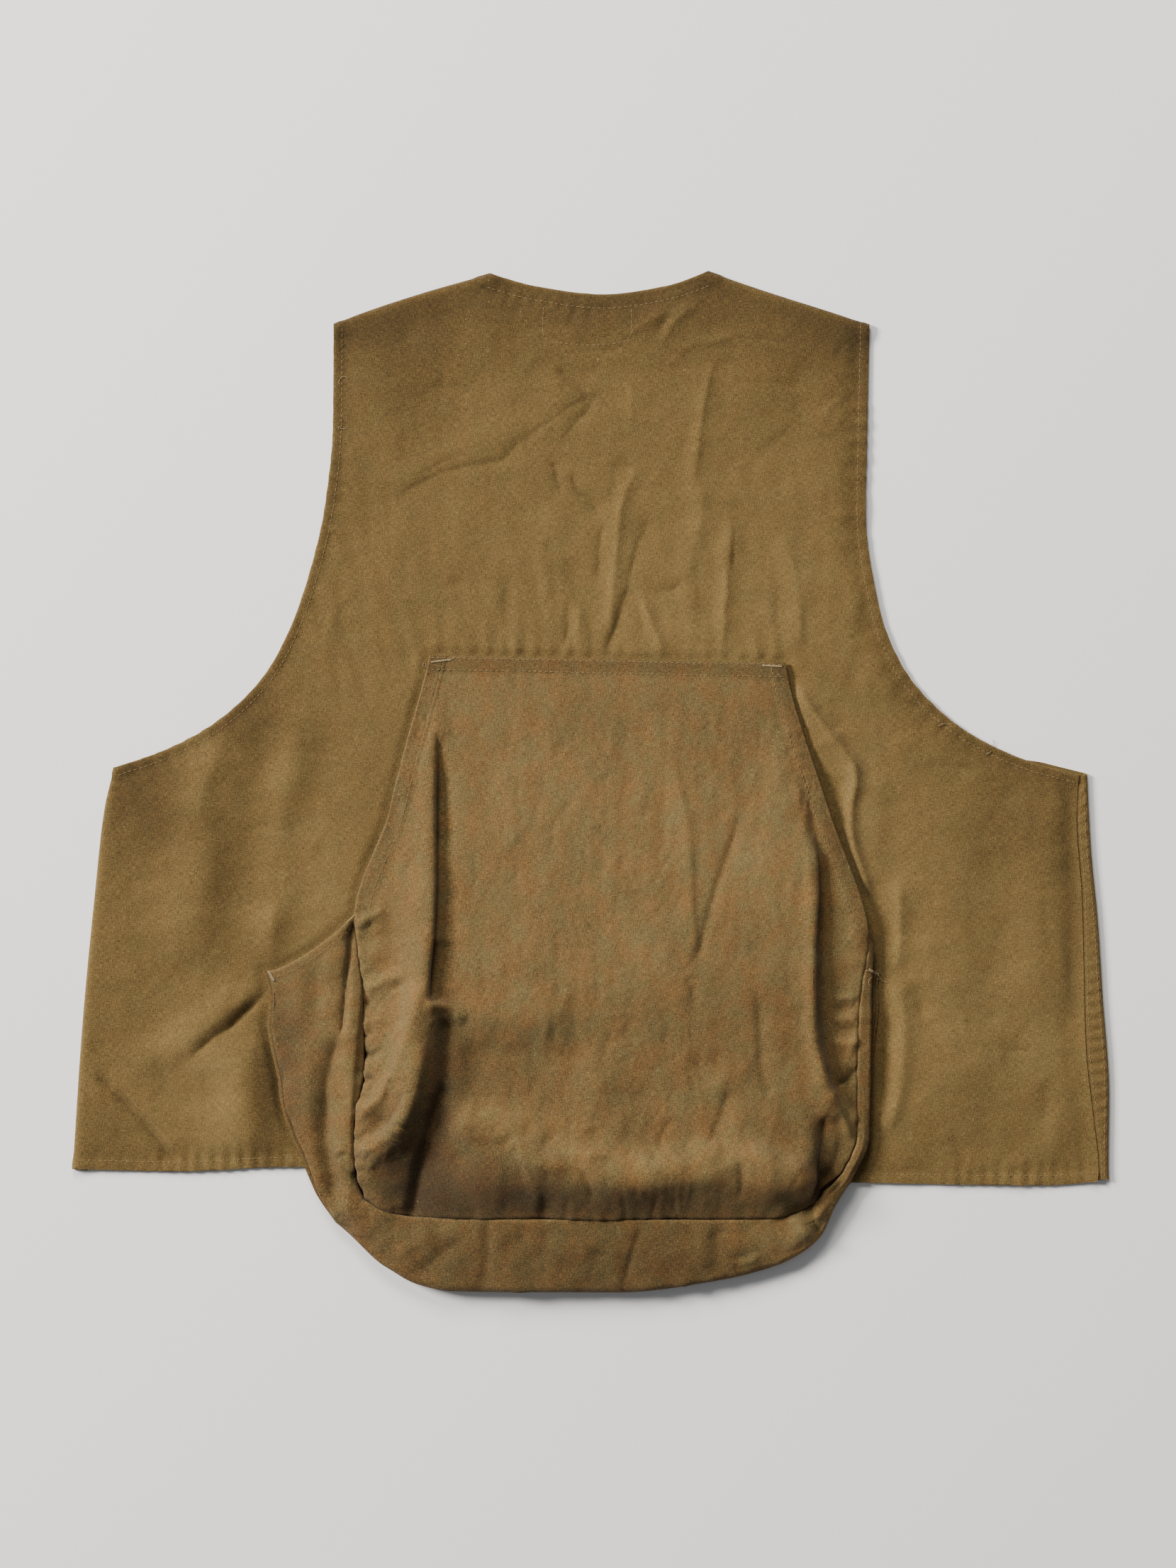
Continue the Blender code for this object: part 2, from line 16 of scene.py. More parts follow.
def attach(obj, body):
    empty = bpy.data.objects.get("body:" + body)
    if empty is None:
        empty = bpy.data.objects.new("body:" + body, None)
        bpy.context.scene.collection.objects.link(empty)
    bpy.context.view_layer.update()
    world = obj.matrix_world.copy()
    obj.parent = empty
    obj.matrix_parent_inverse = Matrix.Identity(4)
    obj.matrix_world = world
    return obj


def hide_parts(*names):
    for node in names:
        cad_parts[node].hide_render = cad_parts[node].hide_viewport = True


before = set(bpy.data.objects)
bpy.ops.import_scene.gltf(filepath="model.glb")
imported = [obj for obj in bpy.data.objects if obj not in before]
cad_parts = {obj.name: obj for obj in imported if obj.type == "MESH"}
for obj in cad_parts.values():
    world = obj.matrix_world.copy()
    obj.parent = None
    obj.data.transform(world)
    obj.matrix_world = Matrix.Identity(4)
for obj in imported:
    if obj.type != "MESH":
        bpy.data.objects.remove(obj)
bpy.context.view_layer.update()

MM = 0.001

# Sizes that the solids have too
SOLID_CLOTH = 1.2
GAP = 0.3
ROLL = 1.6  # radius of the rolled side and shoulder folds
MARGIN = 8.0  # width that a rolled edge runs back underneath
ROLL_RISE = 14.0  # distance over which the back rises to a rolled fold
TUCK = 1.0  # radius of the inner fold of the gusset
HEM_CLEAR = 2.0  # the bag's back stays level this far past the hem
HEM_DROP = 18.0  # and then comes down to the floor over this distance
SLOPE_CLEAR = 9.0  # the gusset stays above the slope as far as this past it
SHEET_LIP = 2.0  # the bag's back shows this far outside the gusset
MOUTH_INSET = 5.0  # the bag's back ends this far inside the mouth edges
TOP_INSET = 10.0  # and this far below the face's sewn top edge
BAG_CLEAR = 7.0  # the vest's back stays level this far round the bag
BAG_RISE = 30.0  # and its folds reach their height over this distance
FRONT_INSET = 2.5  # the fronts' edges lie this far inside the back's
CORNER_POWER = 10.0  # how squarely the bag's bottom row turns at its corners
FOLD_INSET = ROLL + SOLID_CLOTH / 2
HALF_TURN = np.pi * ROLL  # length of cloth that goes round a fold
TUCKED = FOLD_INSET + MARGIN + GAP  # the fronts' edges under a rolled fold lie this far inside it

# Heights of the middle of each layer
FRONT_Z = SOLID_CLOTH / 2
BACK_Z = FRONT_Z + SOLID_CLOTH + GAP
SHEET_Z = BACK_Z + SOLID_CLOTH + GAP
ROLLED_Z = FRONT_Z + 2 * ROLL
SEAM_Z = 3.2

# The finer cloth
CLOTH = 0.9
HEM_LIFT = 0.9  # a hem's folded layers raise its top by this
EDGE_ROUND = 0.9  # width over which a hem's edge rounds off
EDGE_DROP = 0.45
STITCH_DIP = 0.45  # the cloth dips this much at a row of stitches
STITCH_SPREAD = 0.8
STITCH_PITCH = 3.6
STITCH_LENGTH = 2.8
STITCH_BOW = 0.2  # a stitch's middle stands this high above its ends
STITCH_SINK = 0.12  # which lie this deep in the cloth
THREAD = 0.26  # radius of the sewing thread
HEM_FADE = 4.0  # the puckers of a hem start and end over this
PUCKER_SPREAD = 8.0  # and reach this far past its last row of stitches
EDGE_WEAR = 1.1  # width of a hem's worn edge
SEAM_LIFT = 0.5  # a felled seam's layers raise it by this
SEAM_SPREAD = 2.0
DITCH_DEPTH = 1.3  # the bag's seam
DITCH_WIDTH = 0.75
FOLD_WEAR = (0.55, 3.0, 12)  # wear of a rolled fold: amount, width, reach
STRIP_WEAR = (0.7, 1.5 * ROLL, 1.8)  # and of the right fold: amount, middle, width
BACK_CREST_WEAR_AND_HOLLOW_SHADE = (1.5, 0.2)  # pale wear on the creases' crests and painted shade in their hollows: height that counts, share
BAG_CREST_WEAR_AND_HOLLOW_SHADE = (2, 0.14)
BACK_EDGE_SHADE = (0.14, 17, 60)  # darker cloth near the edges: amount, width, reach
FACE_EDGE_SHADE = (0.13, 8, 40)

# Spacing of the points
EDGE_STEP = 2.0
BACK_STEP = 2.6
HIDDEN_STEP = 10.0
FRONT_STEP = 8.0
SHEET_STEP = 5.0
ROLL_STEP = 0.8
HEM_ROWS = (0.9, 2.4, 4.2, 5.8, 7.6, 9.6)  # distances from an edge of the rows of points beside it
CREASE_ROWS = (-2.6, -1.2, 0, 1.2, 2.6)  # and from the way of a crease
ROW_SPACE = 0.9  # no two points of rows are nearer than this
ROW_SLACK = 0.15  # a row beside an edge may come this much nearer to it at a corner
ROW_CLEAR = 1.5  # rows of points keep this far from the outline
STRIP_ROWS = (6.2, 7.6, 9.2, 10.8, 12.4, 14, 15.6)  # rows of points past the right fold
CREASE_STEP = 3  # spacing along the way of a crease
MIDDLE_STEP = 4.0  # and along the fronts' middle edges
MIDDLE_CLEAR = 5.0  # the fronts' hem edges end this far from their middle
BAG_COVER = 14.0  # the back's points are sparse this far inside the bag
SLOPE_ROWS = 7  # rows of points where the bag's back comes down past the hem
SLOPE_POINTS = 200
FINER = 1.5  # how much the points crowd towards a sewn edge

# How folds and creases are formed
FACE_FLOOR = SHEET_Z + 2 * CLOTH  # the bag's face stays above this
SOFT = 18.0  # wide creases are rounder, in millimetres
BACK_LIFT = 1.5  # the back stands off the fronts by this more than its edges
SLANT = np.array(((0.8, 0.6), (-0.6, 0.8)))  # turns places so that a crumple runs aslant
KEEN = 0.35  # share of a crease's width over which its crest is round
CREASE_FALL = 1.4  # how steeply a crease falls off to its sides
CREASE_REACH = 4  # a crease is gone this many of its widths from its way
FOLD_FADE = 2.5  # a soft fold fades out at its ends over this many of its half widths
BACK_SAG = 0.45  # the back comes no further down than this
RISEN = 0.94  # share of the way that the back comes up to a rolled fold at it
REACH = 40.0  # a seam or hem changes the cloth no further than this from it
ROLL_REACH = 30.0  # nor a rolled fold
PATCH_REACH = 20.0  # nor the stitched outline at the neck
SHARP = np.radians(60)  # edges keener than this look sharp
FACING_UP = 1 / 3  # the gusset's creases have their height where its normal rises more than this

# Smooth steps as rising takes them: where each starts and its width, negative where it falls
SHOWN = (1, 4)  # how far outside the bag the back's creases come up
LIFTED = (0.8, 6)  # and where the back comes off the fronts
LIFT_EDGE = (3, 16)  # the same, from its own edges
WIDE = (4, 30)  # and where its wide swells come up
YOKE_LOW = (20, 60)  # the yoke's drawn cloth, in y
YOKE_HIGH = (250, -120)
FACE_FREE = (86, -60)  # the face rumples below its sewn top, in y
FACE_LOW = (-200, -50)  # more so towards its bottom
FACE_CALM = (-250, -16)  # and less again close to the bottom seam
CALM_SHARE = 0.75  # of the rumples that is gone at the face's bottom
FLANK_X = (-118, -14)  # the face's left flank
FLANK_Y = (-80, -40)
PUCKER_EDGE = (-0.875, 2.5)  # puckers grow from a hem's edge on
HEM_STEP = (1.4, -2.4)  # from a hem's width on
GATHER_EASE = 3.0  # the gathers above the bag start over this distance from it
CROWN_EASE = 20.0  # the gusset's swells start over this distance from its seam
CREASE_EASE = 8.0  # and its crumples over this
STRIP_EASE = (1.5, 2.5)  # the strip's top rises over these distances from its fold and its seam
SEAM_EASE = 4.0
FULLY = 0.99  # share turned from which the cloth lies past its fold

# The garment's outline as it lies, clockwise from the left hem, each run through (x, y)
SIDE_LEFT = ((-351, -262), (-345, -171), (-336, -75), (-329.5, -18), (-323, 9.5))
ARMHOLE_LEFT = (
    (-323, 9.5), (-291, 20.5), (-254, 40), (-217, 78), (-192, 136), (-179, 193), (-174.5, 241), (-174, 310),
)
SHOULDER_LEFT = ((-174, 310), (-158, 316.5), (-113, 331.5), (-69, 344))
NECK = ((-69, 344), (-37, 335.5), (8, 330), (50, 335.5), (80, 345.5))
SHOULDER_RIGHT = ((80, 345.5), (118, 332.5), (168, 316.5), (188.5, 309.5))
ARMHOLE_RIGHT = (
    (188.5, 309.5), (187, 241), (186, 184), (195.5, 117), (211, 78), (246, 40), (280, 20.5), (303, 12),
    (330, 5),
)
SEAM_RIGHT = ((330, 5), (328.5, -25), (332, -75), (335, -181), (340, -227), (343.5, -262), (343, -270.5))
HEM = ((343, -270.5), (308, -273), (174, -271), (-206, -260.5), (-278, -263.5), (-351, -262))
FOLD_RIGHT = (
    (336, 7), (338.5, -42), (343.5, -95), (346.5, -143), (351, -210), (350.5, -258), (351, -270.5),
)
FOLDED_EDGES = ("side", "left shoulder", "right shoulder")
HEMMED_EDGES = ("left armhole", "neck", "right armhole", "hem")
UPPER_EDGES = ("left armhole", "left shoulder", "neck", "right shoulder", "right armhole")
PIT_REACH = 2.0  # the right front shows this far past the back's armhole at the armpit
PIT_START = 0.86  # share of the armhole's length where it comes out from under the back
PIT_EASE = 0.08  # and over which it does so
FRONT_NECK = ((56, 296), (36, 222), (16, 156))  # the fronts' neck, by distance from the middle and y
MIDDLE = ((5.5, 118), (0, -266))  # the line in which the fronts meet, from the neck to the hem
FRONT_HEM_INSET = 1.0

# The stitched outline in the middle of the neck: down its left side, along and up its right side
PATCH = (
    (-32, 322), (-32.5, 304), (-29.5, 299.5), (-25, 297.5), (0, 295.5), (21, 297.5), (25.5, 300),
    (27.5, 304), (27.5, 321),
)

# Soft folds that stand up from the back: from, to, half width, height
BACK_FOLDS = (
    # x0, y0, x1, y1, half width, height
    (-140, 200, -50, 238, 9, 1.1),
    (79, 272, 69, 188, 8, 1.1),
    (8, 198, -24, 224, 8, 0.6),
    (-64, 92, -92, 168, 12, 0.9),
    (-22, 88, -26, 180, 10, 0.8),
    (14, 92, 20, 184, 9, 0.7),
    (68, 86, 71, 178, 8, 1.2),
    (90, 86, 95, 174, 8, 0.7),
    (-242, 52, -270, -112, 21, 6.2),
    (-198, 44, -215, -122, 14, 4.2),
    (-222, -140, -310, -194, 12, 3.0),
    (-344, -196, -288, -254, 9, 2.0),
    (142, 60, 166, 22, 8, 1.6),
    (190, -70, 214, -196, 13, 3.8),
    (240, -20, 246, -226, 26, 4.2),
    (312, -8, 304, -158, 22, 4.0),
    (128, 300, 96, 236, 20, 1.8),
    (-150, 290, -128, 214, 22, 1.8),
)

# Finer creases of the back: height, widths on the left and right of the way along, length of the
# fading at each end, and the x and y of the places that it runs through
BACK_CREASES = (
    # height, left, right, fade, x and y of each place along the way
    (-1.1, 2.2, 4, 22, -136, 190, -103, 208, -88, 213, -60, 218, -48, 230, -28, 243, -8, 257, 18, 265),
    (-0.9, 2.4, 4, 18, -123, 203, -105, 214, -90, 221, -76, 225),
    (0.9, 4, 3, 16, -42, 229, -28, 241, -15, 251, -5, 259),
    (-1, 2.2, 3, 12, -24, 226, -10, 243, 0, 253, 5, 259),
    (-1.9, 2.4, 3, 7, -24, 281, -8, 266, 5, 253),
    (1.3, 2, 5, 24, 90, 294, 82, 280, 78, 263, 75, 245, 73, 228, 71, 213, 70, 197),
    (1.5, 5, 6, 20, 71, 207, 75, 190, 73, 172, 69, 154),
    (-1.5, 3.5, 2.2, 9, -26, 222, -23, 206, -19, 192),
    (-1.9, 2.4, 2.4, 9, -14, 211, -9, 198, 0, 190, 9, 179),
    (1.7, 3, 4, 16, 27, 206, 20, 184, 18, 162, 16, 142, 14, 120, 12, 98),
    (-1.3, 4, 2.4, 12, 9, 178, 6, 160, 5, 146, 4, 132),
    (-2.3, 4.5, 2.5, 15, 27, 135, 21, 118, 17, 104, 12, 92, 9, 84),
    (-0.9, 3.5, 2.2, 20, 41, 188, 37, 172, 33, 162, 28, 145, 24, 130),
    (1.5, 3, 3.5, 12, 33, 129, 40, 110, 45, 97, 49, 84),
    (-1, 3, 2.4, 9, 31, 125, 34, 112, 36, 97),
    (1.4, 3, 4, 10, -7, 123, -9, 104, -10, 84),
    (-1.1, 3, 2.4, 10, -15, 125, -16, 106, -17, 86),
    (-1.2, 9, 8, 12, -16, 154, -13, 140, -12, 126),
    (1.2, 2.4, 4, 22, 95, 177, 93, 150, 91, 122, 89, 86),
    (-0.6, 2.2, 2, 12, 98, 178, 97, 160, 96, 138),
    (-0.5, 5, 4, 20, 103, 170, 103, 146, 103, 120, 105, 91),
    (1.6, 4, 5.5, 20, 128, 169, 137, 146, 141, 124, 141, 104, 138, 86),
    (-0.9, 3.5, 3, 10, 127, 133, 126, 116, 127, 99),
    (-0.9, 5, 4, 16, 69, 155, 73, 130, 77, 97),
    (-1, 2.8, 2.8, 8, 42, 131, 54, 129, 64, 139),
    (-1, 3, 3, 6, 11, 213, 31, 213),
    (-0.7, 4, 3, 6, 13, 212, 18, 195),
    (0.8, 4, 3, 6, 31, 213, 23, 195),
    (0.9, 3, 2.5, 10, 22, 299, 36, 310, 53, 319),
    (1.2, 3.5, 2.5, 12, 46, 293, 54, 308, 63, 317, 73, 323),
    (-1.2, 3, 3, 10, 43, 300, 50, 311, 56, 319),
    (-1, 3, 3, 16, 33, 302, 22, 295, 10, 292, -12, 294),
    (1, 3, 3, 12, 57, 290, 70, 296, 85, 299, 106, 305),
    (-0.6, 2.5, 2.5, 12, 97, 301, 120, 299, 136, 297),
    (-0.9, 6, 6, 9, -108, 274, -95, 267, -81, 272),
    (-0.7, 4, 4, 8, -100, 130, -86, 136, -74, 130),
    (-0.8, 4, 4, 12, -55, 142, -57, 125, -58, 106),
    (-0.8, 3.5, 3, 8, -28, 166, -30, 151),
    (-0.8, 6, 5, 14, -114, 307, -100, 315, -85, 322),
    (0.8, 2.8, 2.8, 6, -58, 105, -53, 94, -52, 84),
    (0.8, 2.8, 2.8, 6, -87, 101, -85, 84),
    (0.7, 2.5, 2.5, 16, 27, 276, 27, 238),
    (-0.8, 2.2, 2.2, 5, 173, 300, 165, 285),
    (-0.7, 10, 14, 40, -150, 250, -120, 262, -90, 290),
    (-0.8, 12, 12, 40, 150, 290, 140, 250, 120, 210),
    (-3, 15, 11, 40, -257, 22, -252, -15, -247, -50, -244, -100),
    (2.2, 6, 12, 18, -248, 35, -255, 15, -262, -5, -267, -30),
    (-2.8, 12, 10, 40, -196, 10, -202, -30, -208, -62, -214, -104),
    (1.7, 5, 8, 14, -214, -76, -216, -100, -216, -125),
    (-2.2, 2.6, 4, 7, -212, -140, -220, -144, -229, -152, -240, -162, -247, -168),
    (-1.5, 2.2, 3, 16, -222, -147, -232, -155, -243, -166, -252, -171, -263, -180, -274, -191),
    (1.6, 6.5, 11, 18, -221, -135, -240, -149, -262, -168, -294, -196),
    (-1.3, 9, 8, 14, -262, -190, -260, -205, -258, -224),
    (3.4, 16, 15, 26, -244, -166, -236, -192, -234, -222, -235, -260),
    (1.3, 8, 4, 14, -330, -194, -316, -207, -301, -222, -289, -236, -276, -254),
    (-2.6, 2.4, 2.8, 10, -336, -196, -321, -211, -306, -226, -294, -240, -281, -258),
    (-0.7, 3, 3, 5, -341, -173, -331, -188),
    (
        4.2, 3.6, 4.6, 14, 138, 68, 149, 50, 161, 33, 171, 21, 178, 10, 179, 0, 176.5, -13, 175.5, -28,
        178, -44, 184, -62, 191, -78,
    ),
    (-2.2, 9, 9, 34, 203, 8, 204, -30, 208, -76),
    (2.4, 5, 4, 16, 207, -62, 209, -90, 209, -108, 206, -131),
    (-1.4, 10, 8, 16, 218, -70, 221, -92, 222, -114),
    (3, 5, 6, 14, 199, -133, 208, -145, 212, -160, 211, -182, 210, -204, 206, -222, 199, -240),
    (-1.9, 6, 5, 10, 213, -136, 222, -148, 226, -162),
    (-1.8, 5, 4, 18, 199, -140, 201, -165, 198, -196, 200, -224),
    (-0.6, 2.5, 3, 12, 220, 10, 240, 11, 264, 9),
    (1.4, 3.5, 7, 12, 313, -6, 323, -24, 328, -42, 329, -62),
    (-0.6, 2.2, 2.2, 8, 275, -182, 298, -182),
    (-1, 5, 4, 10, 306, -198, 308, -214, 306, -234),
    (-1.1, 4, 3.5, 8, 243, -237, 249, -249, 256, -263),
    (0.9, 5, 5, 12, 316, -212, 314, -236, 312, -258),
)

# Painted shade (below 0) and painted light in the cloth's colour, as soft ovals: of the back, the bag's face
# and its gusset
BACK_PAINTED_LIGHT_AND_SHADE = (
    # x, y, half width, half height, amount
    (-128, 290, 40, 60, -0.15),
    (150, 296, 60, 34, -0.12),
    (0, 318, 110, 16, -0.12),
    (0, 296, 190, 22, -0.07),
    (112, 122, 60, 50, 0.05),
    (232, -120, 110, 120, 0.05),
    (298, -30, 42, 30, -0.15),
    (50, 112, 140, 90, 0.07),
    (-306, -26, 34, 34, -0.06),
    (-332, -238, 26, 34, -0.08),
    (-300, -12, 34, 34, -0.12),
    (-320, -130, 30, 120, -0.05),
    (-220, -212, 12, 50, -0.30),
    (-262, -216, 24, 26, 0.08),
    (-188, -62, 28, 66, 0.13),
    (188, -30, 20, 80, 0.13),
    (-222, 38, 34, 22, -0.13),
    (290, -168, 70, 60, 0.07),
    (-272, -180, 22, 20, 0.12),
)
FACE_PAINTED_LIGHT_AND_SHADE = (
    (0, -20, 90, 80, 0.05),
    (10, -284, 112, 16, -0.2),
    (-40, -276, 34, 14, -0.12),
    (-66, -222, 34, 9, 0.06),
    (26, -257, 26, 9, 0.05),
    (120, -256, 28, 9, 0.05),
    (70, -232, 60, 9, -0.06),
    (-122, -258, 20, 42, -0.26),
    (-98, -284, 26, 18, -0.2),
    (-64, -266, 32, 20, -0.18),
    (-140, -270, 20, 24, -0.16),
    (173, -150, 10, 46, 0.1),
    (154, -262, 9, 30, -0.2),
    (-84, -200, 22, 60, -0.1),
    (-101, -214, 13, 76, -0.2),
    (-46, -176, 34, 12, 0.14),
    (100, -48, 34, 34, 0.12),
    (34, -130, 60, 40, 0.06),
)
GUSSET_PAINTED_LIGHT_AND_SHADE = (
    (0, -330, 170, 34, -0.16),
    (-204, -200, 20, 62, -0.2),
    (-150, -290, 40, 30, -0.10),
    (-166, -212, 8, 44, 0.12),
    (140, -308, 34, 22, 0.2),
)

# The bag's face: one row for each section across it, from the sewn top edge to the bottom seam.
# y at the left edge, y at the right edge, and how far the middle hangs below them
FACE_ROWS = (
    (85.5, 80.5, 0),
    (68.5, 65.5, 0),
    (25.5, 25.5, 0),
    (-22.5, -22.5, 0),
    (-89, -104.5, 0),
    (-142.5, -147.5, 0),
    (-190.5, -193, 0),
    (-238.5, -238.5, 0),
    (-265, -262, 3),
    (-281, -282, 13.5),
)
# x along each section: edge, side, crest, valley, left, middle, right, ridge, channel, far edge
FACE_X = (
    (-109, -103.5, -97.5, -91, -54.5, 8, 70, 108.5, 118, 131.5),
    (-113, -106.5, -99.5, -92, -54.5, 8, 73, 113.5, 123, 134.5),
    (-125, -115, -105, -94, -56, 8, 80, 128, 137.5, 146),
    (-137, -121.5, -106, -92, -56, 8, 85, 141.5, 150, 162),
    (-159, -131.5, -106, -91, -56, 8, 87, 148, 157, 187.5),
    (-154, -130.5, -110, -90.5, -54.5, 10, 87, 148, 158, 182),
    (-152.5, -133, -117, -99, -54.5, 12, 87, 153.5, 162.5, 180),
    (-160, -146, -130, -106, -57, 12, 85, 157, 170, 180),
    (-158.5, -153, -145, -115, -59, 12, 85, 152, 163, 171),
    (-153, -147, -139, -123, -64, 12, 85, 123, 138.5, 153),
)
# height along the same sections
FACE_Z = (
    (3.8, 3.8, 3.8, 3.8, 3.8, 3.8, 3.8, 3.8, 3.8, 3.8),
    (5.4, 5.6, 6.0, 6.0, 6.6, 6.8, 6.6, 6.0, 5.5, 4.9),
    (7.4, 9.0, 11, 9.8, 10.5, 11, 10.5, 9.5, 8.0, 7.2),
    (10.4, 13.5, 18, 15, 15.8, 16.5, 15.5, 15, 11, 11),
    (12.5, 18, 28.5, 21.5, 22.5, 24, 22.5, 20.5, 13.5, 12.2),
    (15, 22, 35, 28, 29, 30, 27, 23.5, 16, 12.8),
    (16, 24, 35.5, 27.5, 26.5, 26, 25, 22.5, 15.5, 12.8),
    (16, 22, 28.5, 22.5, 28, 30, 28.5, 23, 15, 12.8),
    (15, 18, 20, 17.5, 32.5, 35.5, 34, 25, 15, 12.8),
    (14, 16, 17.5, 16.5, 21, 21.5, 20.5, 18, 15, 12.5),
)
FACE_COLUMNS = (16, 16, 12, 22, 38, 46, 34, 10, 14)  # steps between neighbouring lines of a section
FACE_STEPS = (10, 24, 28, 40, 32, 30, 30, 18, 14)  # steps between neighbouring sections
SEAM_ROW = 4  # the section where the face's edges stop being mouths and are sewn to the gusset
MIDDLE_LINE = 5

# Creases of the bag's face, in the same columns as those of the back
FACE_CREASES = (
    # height, left, right, fade, x and y of each place along the way
    (-3.4, 6, 2.2, 14, -104, 37, -101.5, 10, -101, -20, -101, -50),
    (-6.5, 8, 2.8, 40, -102, 32, -101, -20, -101, -60, -102, -100, -104, -130, -106, -156),
    (-4.5, 9, 3, 7, -102, -104, -104, -130, -106, -150),
    (3, 4, 4, 6, -113, -150, -101, -150, -92, -154, -83, -161),
    (2.2, 4, 6, 14, -112, -172, -117, -200, -125, -226, -137, -246, -150, -258),
    (-3.4, 6, 4, 9, -97, -157, -97, -185, -99, -208),
    (-5.8, 6.5, 2.8, 9, -98, -200, -105, -222, -110, -240, -116, -262, -121, -284, -123, -297),
    (3.4, 12, 10, 24, -96, -158, -70, -156, -44, -158, -10, -162),
    (-5, 10, 18, 20, -96, -186, -60, -185, -30, -186, 4, -190),
    (-2, 9, 14, 20, 0, -208, 24, -212, 52, -206),
    (-1.6, 6, 8, 10, 62, -187, 76, -190, 92, -185),
    (
        4.2, 13, 7, 20, -102, -227, -77, -238, -57, -236, -46, -245, -37, -257, -22, -258, -8, -256,
        10, -266, 28, -269, 53, -267, 74, -265, 88, -258, 102, -256, 124, -272, 141, -270, 157, -261,
    ),
    (3.6, 11, 5, 12, -92, -224, -76, -231, -62, -239, -47, -252, -30, -258, -12, -258),
    (2, 8, 4, 10, 28, -257, 50, -262, 68, -257),
    (1.8, 6, 4, 8, 64, -243, 76, -250, 86, -257),
    (2.2, 7, 5, 12, 102, -245, 118, -256, 130, -262, 148, -255),
    (1.6, 2.6, 6, 26, 53, 21, 60, -6, 65, -28, 67, -52, 68, -80, 69, -102, 72, -122),
    (-1.9, 4, 2.4, 26, 101, -20, 94, -44, 85, -69, 78, -94, 73, -115, 70, -132),
    (-1.3, 5, 5, 8, 68, -133, 70, -144, 69, -162),
    (-1.1, 2.5, 2.5, 4, 62, -133, 75, -133),
    (-2, 5, 2.5, 14, 112, -142, 114, -172, 115, -193, 118, -213),
    (-1, 3, 3, 4, 116, -209, 125, -206),
    (-2, 4, 2.2, 8, 93, -205, 88, -222, 83, -236, 79, -246),
    (1.4, 5, 5, 8, 81, -214, 88, -202, 97, -193),
    (-1.8, 4, 2.2, 6, -11, -251, -2, -270, 2, -282),
    (1.6, 3, 4.5, 9, -49, -239, -44, -259, -38, -272, -32, -290),
    (-2, 3, 2.4, 6, -51, -243, -48, -256, -46, -269),
    (-1, 2.4, 2, 4, -15, -276, -17, -296),
    (-1, 2.4, 2, 4, -33, -277, -32, -296),
    (-1, 2.4, 2, 5, 45, -275, 43, -284, 39, -297),
    (-0.9, 2.4, 2, 5, 58, -275, 56, -285, 60, -298),
    (-1.6, 3, 2.2, 7, 100, -253, 101, -266, 101, -282),
    (-1.2, 2.4, 2, 5, -80, -284, -78, -297),
    (-1.8, 6, 6, 8, -68, -229, -60, -238, -53, -248),
    (-0.8, 2, 2.5, 4, 20, -278, 24, -290, 22, -297),
    (3, 2.4, 5, 6, -122, -130, -132, -132, -140, -135, -152, -141),
    (-1.6, 5, 4, 12, -136, -82, -134, -105, -134, -130),
    (4.2, 4, 7, 14, -111, -131, -118, -158, -125, -183, -132, -201, -146, -219, -160, -231),
    (4.2, 4, 6, 12, -118, -204, -130, -231, -141, -243, -157, -254),
    (-2.8, 4, 4, 12, -123, -205, -134, -225, -145, -233, -161, -245),
    (2.6, 2.2, 3, 5, -138, -85, -148, -91, -158, -98),
    (-2.2, 2.2, 3, 5, -145, -148, -156, -151),
    (-2.2, 2.2, 3, 5, -143, -169, -156, -172),
    (-2.2, 2.2, 3, 5, -143, -184, -156, -186),
    (-2.2, 2.2, 3, 5, -142, -200, -157, -202),
    (-2.2, 2.2, 3, 5, -143, -213, -158, -214),
    (
        4, 2.4, 5, 22, 147, -34, 150.5, -70, 149.5, -101, 148.5, -130, 149.5, -165, 153, -186, 159.5, -208,
        166.5, -222, 176, -238, 182, -247,
    ),
    (-2.4, 4, 4, 20, 156, -48, 157.5, -95, 157, -145, 159, -172, 164, -195, 168, -214, 173, -230),
    (1.6, 2.5, 2.5, 5, 163, -146, 182, -145),
    (-1.2, 2.5, 2.5, 5, 163, -153, 182, -152),
    (1.6, 2.5, 2.5, 5, 163, -160, 182, -159),
    (-1.4, 2.5, 2.5, 5, 163, -167, 182, -167),
    (2.6, 2.5, 4, 6, 162, -173, 172, -176, 184, -174),
    (-3, 3, 3, 6, 164, -206, 172, -203, 181, -191),
    (2.6, 3, 4, 8, 160, -205, 170, -218, 183, -233),
    (-6, 6, 3.5, 10, 159, -222, 157, -240, 156, -256, 158, -268, 149, -283),
    (-1.2, 8, 10, 26, -92, 40, -84, 10, -72, -10),
    (1.2, 8, 8, 26, -64, 20, -50, -10, -60, -60),
    (-0.5, 3, 2.4, 20, -49, 14, -48, -20, -49, -60, -46, -130),
    (-0.7, 2.6, 2.2, 16, -23, -90, -22, -120, -22, -150),
    (-0.9, 6, 5, 16, 104, 24, 102, -2, 110, -26),
    (0.9, 5, 6, 16, 126, 26, 128, 0, 136, -28),
    (-1, 7, 6, 12, 96, -104, 110, -112, 116, -124),
)

